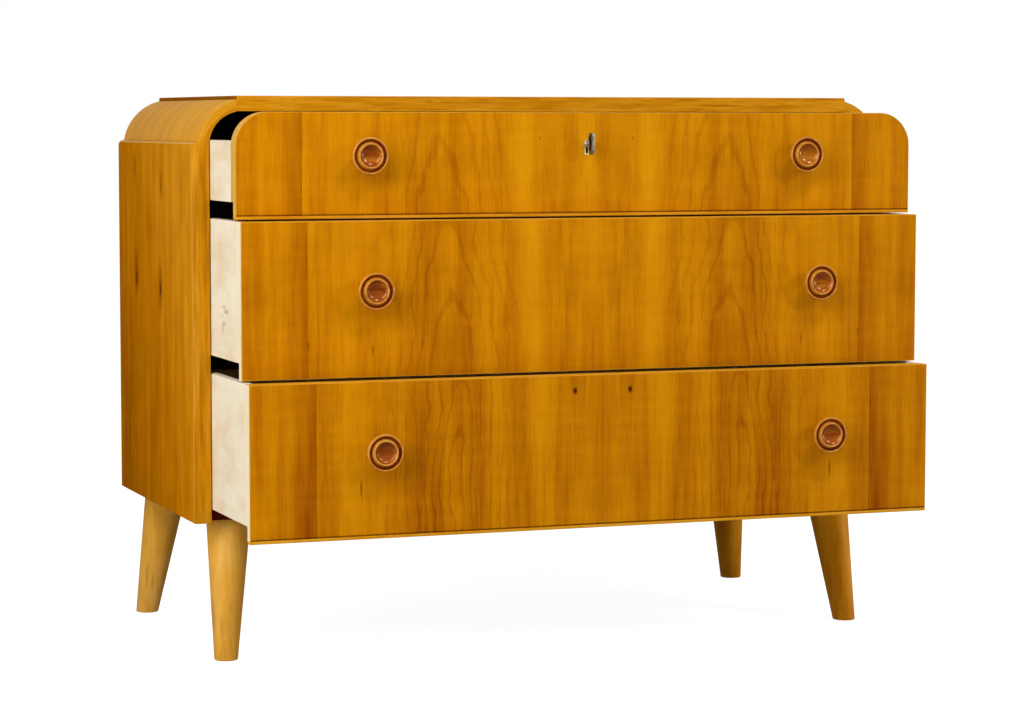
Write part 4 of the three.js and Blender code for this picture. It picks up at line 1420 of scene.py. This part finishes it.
@dataclass
class Drawer:
    """A drawer: its veneered front and its bare birch box.

    Attributes:
        finishes: The chest's materials.
        body: The CAD body that it moves as, such as top_drawer.
        lipped: Whether a solid strip guards the front's lower edge.
        crown: The rounding of the front's upper corners.
        locked: Whether it carries the lock.
        ends: What its front's ends are lipped with, or None for bare birch.
        lip_thickness: How thick the front is where it hangs below its box.
        strip_height: How tall the solid strip is.
        arris: The rounding of the front's edges.
        play: The gap round a joint.
        tenon_inset: How far a side's tenon stands in from the front's end, and below its top.
        tenon_thickness: How thick the tenon is.
        tenon_length: How far it reaches into the front.
    """

    finishes: Finishes
    body: str
    lipped: bool = False
    crown: float = 0
    locked: bool = False
    ends: Finish | None = None
    lip_thickness: float = 12 * MM
    strip_height: float = 4 * MM
    arris: float = 1 * MM
    play: float = 0.2 * MM
    tenon_inset: float = 3 * MM
    tenon_thickness: float = 6 * MM
    tenon_length: float = 7 * MM

    def front(self) -> Piece:
        """Makes the front board, with its joints cut.

        Returns:
            The front, not yet polished.
        """
        low, high = span(f"{self.body}_front")
        side_low, side_high = span(f"{self.body}_side_right")
        front = board(f"{self.body}_front_veneered", low, high)
        if self.crown:
            corners = ({"x": x, "z": high.z} for x in (low.x, high.x))
            round_edges(front, self.crown, *corners, segments=28)
        dress(front, self.finishes.front, self.ends or self.finishes.end_lipping, self.finishes.ground,
              self.finishes.lipping, self.finishes.arris)
        face_slots(front, self.slot_of)
        # The front's edges take the paler arris finish: partly wear, partly painted highlight.
        round_edges(front, self.arris, {"y": low.y}, segments=2, slot=4)
        cut(front, board(
            "lip", Vector((low.x - SPARE, low.y + self.lip_thickness, low.z - SPARE)),
            Vector((high.x + SPARE, high.y + SPARE, side_low.z)),
        ))
        if self.lipped:
            cut(front, board(
                "strip_place", low - Vector((SPARE, SPARE, SPARE)),
                Vector((high.x + SPARE, high.y + SPARE, low.z + self.strip_height)),
            ))
        bottom_low, bottom_high = span(f"{self.body}_bottom")
        gap = Vector((self.play, self.play, self.play))
        cut(front, board("groove", bottom_low - gap, bottom_high + gap))
        outer = high.x - self.tenon_inset + self.play
        inner = high.x - self.tenon_inset - self.tenon_thickness - self.play
        for left, right in ((-outer, -inner), (inner, outer)):
            cut(front, board(
                "mortise", Vector((left, high.y - self.tenon_length - self.play, low.z + self.play)),
                Vector((right, high.y + SPARE, side_high.z - self.tenon_inset + self.play)),
            ))
        return front

    @staticmethod
    def slot_of(middle: Vector, normal: Vector) -> int:
        """Chooses a front's material: of its face, its ends, its back or its long edges.

        Args:
            middle: The middle of one of its faces.
            normal: The way that face looks.

        Returns:
            The material's slot.
        """
        if abs(normal.y) > LEANS:
            return 0 if normal.y < 0 else 2
        return 3 if abs(normal.z) > abs(normal.x) else 1

    def strip(self) -> None:
        """Makes the solid strip along the front's lower edge."""
        low, high = span(f"{self.body}_front")
        strip = board(
            f"{self.body}_lipping", low,
            Vector((high.x, low.y + self.lip_thickness, low.z + self.strip_height)),
        )
        round_edges(
            strip, self.arris, {"y": low.y, "z": low.z}, {"x": high.x, "y": low.y},
            {"x": low.x, "y": low.y}, segments=2,
        )
        dress(strip, self.finishes.lipping)
        put_on(polish(strip), self.body, "elm_veneer")

    def build(self) -> None:
        """Makes the front and dresses the box's boards."""
        front = self.front()
        if self.locked:
            Lock(self.finishes, self.body).let_into(front)
        put_on(polish(front), self.body, "elm_veneer", f"{self.body}_front")
        if self.lipped:
            self.strip()
        for word, finish in (
            ("side_left", self.finishes.box_left), ("side_right", self.finishes.box_right),
            ("back", self.finishes.box_back), ("bottom", self.finishes.ply),
        ):
            dress_node(f"{self.body}_{word}", finish)


@dataclass
class Knobs:
    """The six turned knobs, with a raised rim, a bead and a dished middle.

    Attributes:
        finishes: The chest's materials.
        profile: Radius of each ring and how far it stands out from the front, in millimetres.
        groove: The radii between which the turned groove lies.
        groove_front: How far out from the drawer front its darkest part reaches.
        dish: The radius of the dished middle, and how far out its wall starts.
        seat: The gap between the knob's foot and the front.
        faces: How many flat faces run round a knob.
        chip: Where the top left knob has a chip in its rim, seen from the middle of its foot.
        chip_radius: How far round that place the chip reaches.
    """

    finishes: Finishes
    profile: tuple[tuple[float, float], ...] = (
        (12, 0.2), (12, 1), (11.2, 2.2), (10.2, 3.8), (9.6, 5.2), (9.5, 6.5), (9.9, 8), (11.2, 9.6),
        (13.6, 10.9), (16.8, 12.2), (19.8, 13.7), (22.2, 15.6), (23.6, 17.6), (24.2, 19.4), (24.15, 20.8),
        (23.75, 22), (23.2, 22.8), (22.5, 23.15), (21.9, 22.95), (21.4, 22.3), (20.9, 21.2), (20.3, 20.2),
        (19.4, 19.6), (18.4, 19.7), (17.7, 20.5), (17.3, 21.7), (17, 23), (16.6, 24.1), (16, 24.8),
        (15.3, 24.95), (14.6, 24.65), (14, 23.9), (13.1, 22.7), (11.6, 21.3), (9.3, 20), (6.5, 19.2),
        (3.2, 18.85), (0.6, 18.8),
    )
    groove: tuple[float, float] = (17.9 * MM, 21.6 * MM)
    groove_front: float = 22.8 * MM
    dish: float = 13.8 * MM
    seat: float = 0.2 * MM
    faces: int = 96
    chip: tuple[float, float, float] = (-2.2 * MM, -21.5 * MM, -25.2 * MM)
    chip_radius: float = 3.2 * MM

    def foot(self, node: str) -> Vector:
        """Gives the place in a drawer front's face that a knob's foot stands on."""
        low, high = span(node)
        return Vector(((low.x + high.x) / 2, high.y + self.seat, (low.z + high.z) / 2))

    def slot_at(self, place: Vector) -> int:
        """Chooses a knob's material: of its rim, its groove or its dish.

        Args:
            place: A place on the knob, seen from the middle of its foot.

        Returns:
            The material's slot.
        """
        radius = math.hypot(place.x, place.z)
        if radius < self.dish < -place.y:
            return 2
        return int(self.groove[0] < radius < self.groove[1] and self.dish < -place.y < self.groove_front)

    def build(self) -> None:
        """Turns one knob, copies it to the other five places and chips the first."""
        first = "top_drawer_knob_left"
        foot = self.foot(first)
        rings = [(radius * MM, foot.y - out * MM) for radius, out in self.profile]
        knob = lathe(f"{first}_turned", rings, foot.x, foot.z, self.faces)
        dress(knob, self.finishes.knob, self.finishes.knob_groove, self.finishes.knob_dish)
        # Groove and dish faces take the darker finishes, as painted shade.
        face_slots(knob, lambda middle, normal: self.slot_at(middle - foot))
        polish(knob, angle=60, flats=False)
        for drawer in ("top_drawer", "middle_drawer", "bottom_drawer"):
            for end in ("left", "right"):
                node = f"{drawer}_knob_{end}"
                if node != first:
                    twin = copied(knob, f"{node}_turned", self.foot(node) - foot)
                    put_on(twin, drawer, "stained_birch", node)
        put_down()
        bpy.ops.mesh.primitive_ico_sphere_add(
            subdivisions=2, radius=self.chip_radius, location=foot + Vector(self.chip)
        )
        chip = fix_place(bpy.context.object)
        dress(chip, *knob.data.materials)
        # The chip's faces take the groove's darker finish, as painted shade.
        face_slots(chip, lambda middle, normal: 1)
        cut(knob, chip)
        put_on(knob, "top_drawer", "stained_birch", first)


@dataclass
class Lock:
    """The lock of the top drawer, its brass escutcheon and its key.

    Attributes:
        finishes: The chest's materials.
        body: The body that the lock rides on.
        play: The play round the escutcheon and the lock plate.
        escutcheon_wall: How thick the escutcheon is.
        hole: The keyhole's radius.
        slot_width: How wide the keyhole's slot is.
        slot_drop: How far it reaches below the key's axis.
        recess: How far the keyhole is cut past the lock plate.
        stem: The radius of the key's stem.
        tip: The radius of the stem's end.
        tip_length: How far from its end the stem has its full radius.
        profile: Radius of each further ring of the stem, and its place out from the front.
        bow_rim: How wide the bow's ring is.
        bow_thickness: How thick it is.
        bow_round_share: Its corners' radius, as a share of half its length.
        bow_arris: The rounding of its outer edges.
        bow_start: How far the bow stands from the drawer front.
        bit_reach: How far the bit reaches from the key's axis.
        bit_thickness: How thick the bit is.
        bit_ends: How far the bit's ends stand from the stem's end.
        bit_arris: The rounding of its lower edges.
        faces: How many flat faces run round a turned piece.
    """

    finishes: Finishes
    body: str = "top_drawer"
    play: float = 0.2 * MM
    escutcheon_wall: float = 1.9 * MM
    hole: float = 3.2 * MM
    slot_width: float = 3 * MM
    slot_drop: float = 12.7 * MM
    recess: float = 1 * MM
    stem: float = 2.6 * MM
    tip: float = 2.132 * MM
    tip_length: float = 0.6 * MM
    profile: tuple[tuple[float, float], ...] = (
        (2.6 * MM, 2.6 * MM), (3.78 * MM, 3 * MM), (4.2 * MM, 3.5 * MM), (4.2 * MM, 5 * MM),
        (3.78 * MM, 5.5 * MM), (2.6 * MM, 5.9 * MM), (2.6 * MM, 10 * MM), (0.9 * MM, 11.5 * MM),
    )
    bow_rim: float = 4.4 * MM
    bow_thickness: float = 3.4 * MM
    bow_round_share: float = 0.85
    bow_arris: float = 0.6 * MM
    bow_start: float = 9 * MM
    bit_reach: float = 10.5 * MM
    bit_thickness: float = 2.4 * MM
    bit_ends: tuple[float, float] = (7 * MM, 2 * MM)
    bit_arris: float = 0.3 * MM
    faces: int = 40

    def axis(self) -> Vector:
        """Finds the key's axis.

        Returns:
            The point where it meets the plane of the drawer front.
        """
        low, high = span("escutcheon")
        front = span(f"{self.body}_front")[0].y
        return Vector(((low.x + high.x) / 2, front, high.z - self.hole - self.escutcheon_wall))

    def keyhole(self, name: str, grown: float, start: float, end: float) -> Piece:
        """Makes a bar with the outline of a keyhole.

        Args:
            name: The bar's name.
            grown: How much wider than the keyhole it is all round.
            start: Where it starts along Y.
            end: Where it ends along Y.

        Returns:
            The bar.
        """
        axis = self.axis()
        half = self.slot_width / 2 + grown
        base = axis.z - self.slot_drop - grown
        outline = bar(
            name, Vector((axis.x, end, axis.z)), Vector((axis.x, start, axis.z)), self.hole + grown,
            faces=self.faces,
        )
        slot = board("slot", Vector((axis.x - half, start, base)), Vector((axis.x + half, end, axis.z)))
        cut(outline, slot, Cut.TOGETHER)
        return outline

    def let_into(self, front: Piece) -> None:
        """Cuts the keyhole and the lock's recess into the drawer front.

        Args:
            front: The front to cut.
        """
        low, high = span("lock_case")
        front_low, front_high = span(f"{self.body}_front")
        grown = self.escutcheon_wall + self.play
        cut(front, self.keyhole("keyhole", grown, front_low.y - SPARE, low.y + self.recess))
        play = Vector((self.play, self.play, self.play))
        cut(front, board(
            "lock_recess", low - play,
            Vector((high.x + self.play, front_high.y + SPARE, front_high.z + SPARE)),
        ))

    def escutcheon(self) -> Piece:
        """Makes the brass lining of the keyhole.

        Returns:
            The finished escutcheon.
        """
        low, high = span("escutcheon")
        lining = self.keyhole("escutcheon_cast", self.escutcheon_wall, low.y, high.y)
        hole = self.keyhole("hole", 0, low.y - SPARE, high.y + SPARE)
        for piece in (lining, hole):
            dress(piece, self.finishes.brass, self.finishes.hollow_painted_shade)
        # The keyhole's walls take the near-black finish, as painted shade.
        face_slots(hole, lambda middle, normal: 1)
        cut(lining, hole)
        return polish(lining, angle=35)

    def bow_plate(self, name: str, inward: float, half_thickness: float) -> Piece:
        """Makes a flat plate with round ends about the bow's middle.

        Args:
            name: The plate's name.
            inward: How far its outline lies inside the bow's.
            half_thickness: Half its thickness.

        Returns:
            The plate.
        """
        low, high = span("key")
        axis = self.axis()
        start = axis.y - self.bow_start
        middle = Vector((axis.x, (start + low.y) / 2, axis.z))
        half_length = (start - low.y) / 2 - inward
        reach = Vector((half_thickness, half_length, (high.z - low.z) / 2 - inward))
        plate = board(name, middle - reach, middle + reach)
        corners = (
            {"y": middle.y + y * reach.y, "z": middle.z + z * reach.z} for y in (-1, 1) for z in (-1, 1)
        )
        round_edges(plate, half_length * self.bow_round_share, *corners, segments=14)
        return plate

    def key(self) -> Piece:
        """Makes the key: a turned stem, an oval bow and a bit.

        Returns:
            The finished key.
        """
        axis = self.axis()
        end = span("key")[1].y
        rings = [(self.tip, end), (self.stem, end - self.tip_length)]
        rings += [(radius, axis.y - out) for radius, out in self.profile]
        key = lathe("key_cut", rings, axis.x, axis.z, self.faces)
        bow = self.bow_plate("bow", 0, self.bow_thickness / 2)
        faces = ({"x": axis.x + side * self.bow_thickness / 2} for side in (-1, 1))
        round_edges(bow, self.bow_arris, *faces, segments=3)
        eye = self.bow_plate("eye", self.bow_rim, self.bow_thickness)
        for piece in (key, bow, eye):
            dress(piece, self.finishes.steel, self.finishes.hollow_painted_shade)
        # The eye's walls take the near-black finish, as painted shade.
        face_slots(eye, lambda middle, normal: 1)
        cut(bow, eye)
        cut(key, bow, Cut.TOGETHER)
        half = self.bit_thickness / 2
        base = axis.z - self.bit_reach
        bit = board(
            "bit", Vector((axis.x - half, end - self.bit_ends[0], base)),
            Vector((axis.x + half, end - self.bit_ends[1], axis.z)),
        )
        round_edges(bit, self.bit_arris, {"z": base}, segments=2)
        cut(key, bit, Cut.TOGETHER)
        return polish(key, angle=35)

    def build(self) -> None:
        """Makes the escutcheon and the key, and dresses the lock's CAD nodes."""
        put_on(self.escutcheon(), self.body, "brass", "escutcheon")
        put_on(self.key(), "key", "steel", "key")
        dress_node("lock_case", self.finishes.dull_brass)
        dress_node("lock_bolt", self.finishes.steel)


@dataclass
class Studio:
    """A white studio: its floor, lamps, surroundings and camera.

    Attributes:
        eye: Where the camera stands.
        pan: How far it looks to the right of straight back, in degrees.
        tilt: How far it looks down, in degrees.
        roll: How far it is turned about its line of sight, in degrees.
        lens: Its focal length, in millimetres.
        ambient: The strength of the light from all round.
        ambient_tint: The colour of that light.
        glow: How much brighter than lit the floor looks to the camera.
        paint: The colour of the floor's paint.
        floor_size: How wide and deep the floor is.
        lamps: Name, place, width and height, and brightness, of each lamp.
    """

    eye: tuple[float, float, float] = (-1.4262, -3.77735, 0.7107)
    pan: float = -20.4845
    tilt: float = 4.574
    roll: float = 0.0625
    lens: float = 101.92
    ambient: float = 0.22
    ambient_tint: str = "#FFEEDC"
    glow: float = 0.91
    paint: str = "#BCBCBC"
    floor_size: float = 60
    lamps: tuple[tuple[str, tuple[float, float, float], tuple[float, float], float], ...] = (
        ("left_high_lamp", (-1.8, -1.8, 2.1), (1.3, 1.0), 0.32),
        ("left_near_lamp", (-1.6, -1.05, 1.15), (0.6, 0.8), 0.2),
        ("left_low_lamp", (-1.8, -0.7, 0.3), (0.6, 0.4), 0.13),
        ("far_left_lamp", (-4.0, -2.0, 1.6), (1.5, 1.5), 0.15),
        ("right_lamp", (2.2, -2.2, 1.8), (0.7, 0.7), 0.22),
        ("right_low_lamp", (2.6, -0.7, 0.35), (0.6, 0.6), 0.22),
        ("overhead_lamp", (0.6, -1.6, 2.8), (0.7, 0.4), 0.33),
    )

    def camera(self) -> None:
        """Sets up the camera."""
        put_down()
        bpy.ops.object.camera_add()
        camera = bpy.context.object
        camera.matrix_world = (
            Matrix.Translation(self.eye)
            @ Matrix.Rotation(math.radians(self.pan), 4, "Z")
            @ Matrix.Rotation(math.radians(90 - self.tilt), 4, "X")
            @ Matrix.Rotation(math.radians(self.roll), 4, "Z")
        )
        camera.data.lens = self.lens
        bpy.context.scene.camera = camera
        bpy.context.scene.view_settings.view_transform = "Standard"

    def light(self) -> None:
        """Hangs the lamps, each turned to the middle of the chest."""
        aim = (Vector(CAD_LOW) + Vector(CAD_HIGH)) / 2
        for name, place, (width, height), brightness in self.lamps:
            put_down()
            bpy.ops.object.light_add(type="AREA", location=place)
            lamp = called(bpy.context.object, name)
            to_chest = aim - Vector(place)
            lamp.rotation_euler = to_chest.to_track_quat("-Z", "Y").to_euler()
            lamp.data.shape = "RECTANGLE"
            lamp.data.size = width
            lamp.data.size_y = height
            lamp.data.energy = brightness * math.pi ** 2 * to_chest.length_squared

    def surround(self) -> None:
        """Makes the world: white where it is seen or reflected, and soft light elsewhere."""
        recipe = Recipe(bpy.data.worlds.new("white_studio"))
        bpy.context.scene.world = recipe.owner
        seen = 0.0
        for ray in ("Is Camera Ray", "Is Glossy Ray", "Is Transmission Ray"):
            seen = recipe.add("Math", recipe.add("LightPath", output=ray), seen, operation="MAXIMUM")
        strength = recipe.add("MapRange", seen, 0.0, 1.0, self.ambient, 1.0)
        inputs = {0: seen, 6: linear(self.ambient_tint), 7: linear("#FFFFFF")}
        tint = recipe.add("Mix", named=inputs, output=2, data_type="RGBA")
        recipe.add("OutputWorld", recipe.add("Background", tint, strength))

    def floor(self) -> None:
        """Lays the floor, painted white, a little brighter to the camera than it is lit."""
        put_down()
        bpy.ops.mesh.primitive_plane_add(size=self.floor_size, location=(0, 0, 0))
        floor = called(bpy.context.object, "studio_floor")
        recipe = Recipe(bpy.data.materials.new("white_floor_paint"))
        paint = recipe.add("BsdfDiffuse", linear(self.paint))
        seen = recipe.add("LightPath", output="Is Camera Ray")
        glow = recipe.add("Math", seen, self.glow, operation="MULTIPLY")
        glow = recipe.add("Emission", named={"Strength": glow})
        recipe.add("OutputMaterial", recipe.add("AddShader", paint, glow))
        dress(floor, recipe.owner)

    def build(self) -> None:
        """Sets up the whole studio."""
        self.camera()
        self.light()
        self.surround()
        self.floor()


def main() -> None:
    """Builds the studio and the chest."""
    Studio().build()
    finishes = Finishes()
    Case(finishes).build()
    Leg(finishes).build()
    Drawer(
        finishes, "top_drawer", lipped=True, crown=44 * MM, locked=True, ends=finishes.gold_lipping
    ).build()
    Drawer(finishes, "middle_drawer").build()
    Drawer(finishes, "bottom_drawer", lipped=True).build()
    Knobs(finishes).build()
    Lock(finishes).build()
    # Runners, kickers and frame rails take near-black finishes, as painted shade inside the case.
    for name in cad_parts:
        if "runner" in name or "kicker" in name:
            dress_node(name, finishes.runner)
        elif "_frame_" in name:
            dress_node(name, finishes.rail)
        elif "screw" in name or "leg_bolt" in name:
            dress_node(name, finishes.steel)
    # The bottom board's dark red is partly painted shade.
    dress_node("bottom_panel", finishes.base)


if __name__ == "__main__":
    logging.basicConfig(level=logging.INFO, format="%(message)s")
    main()
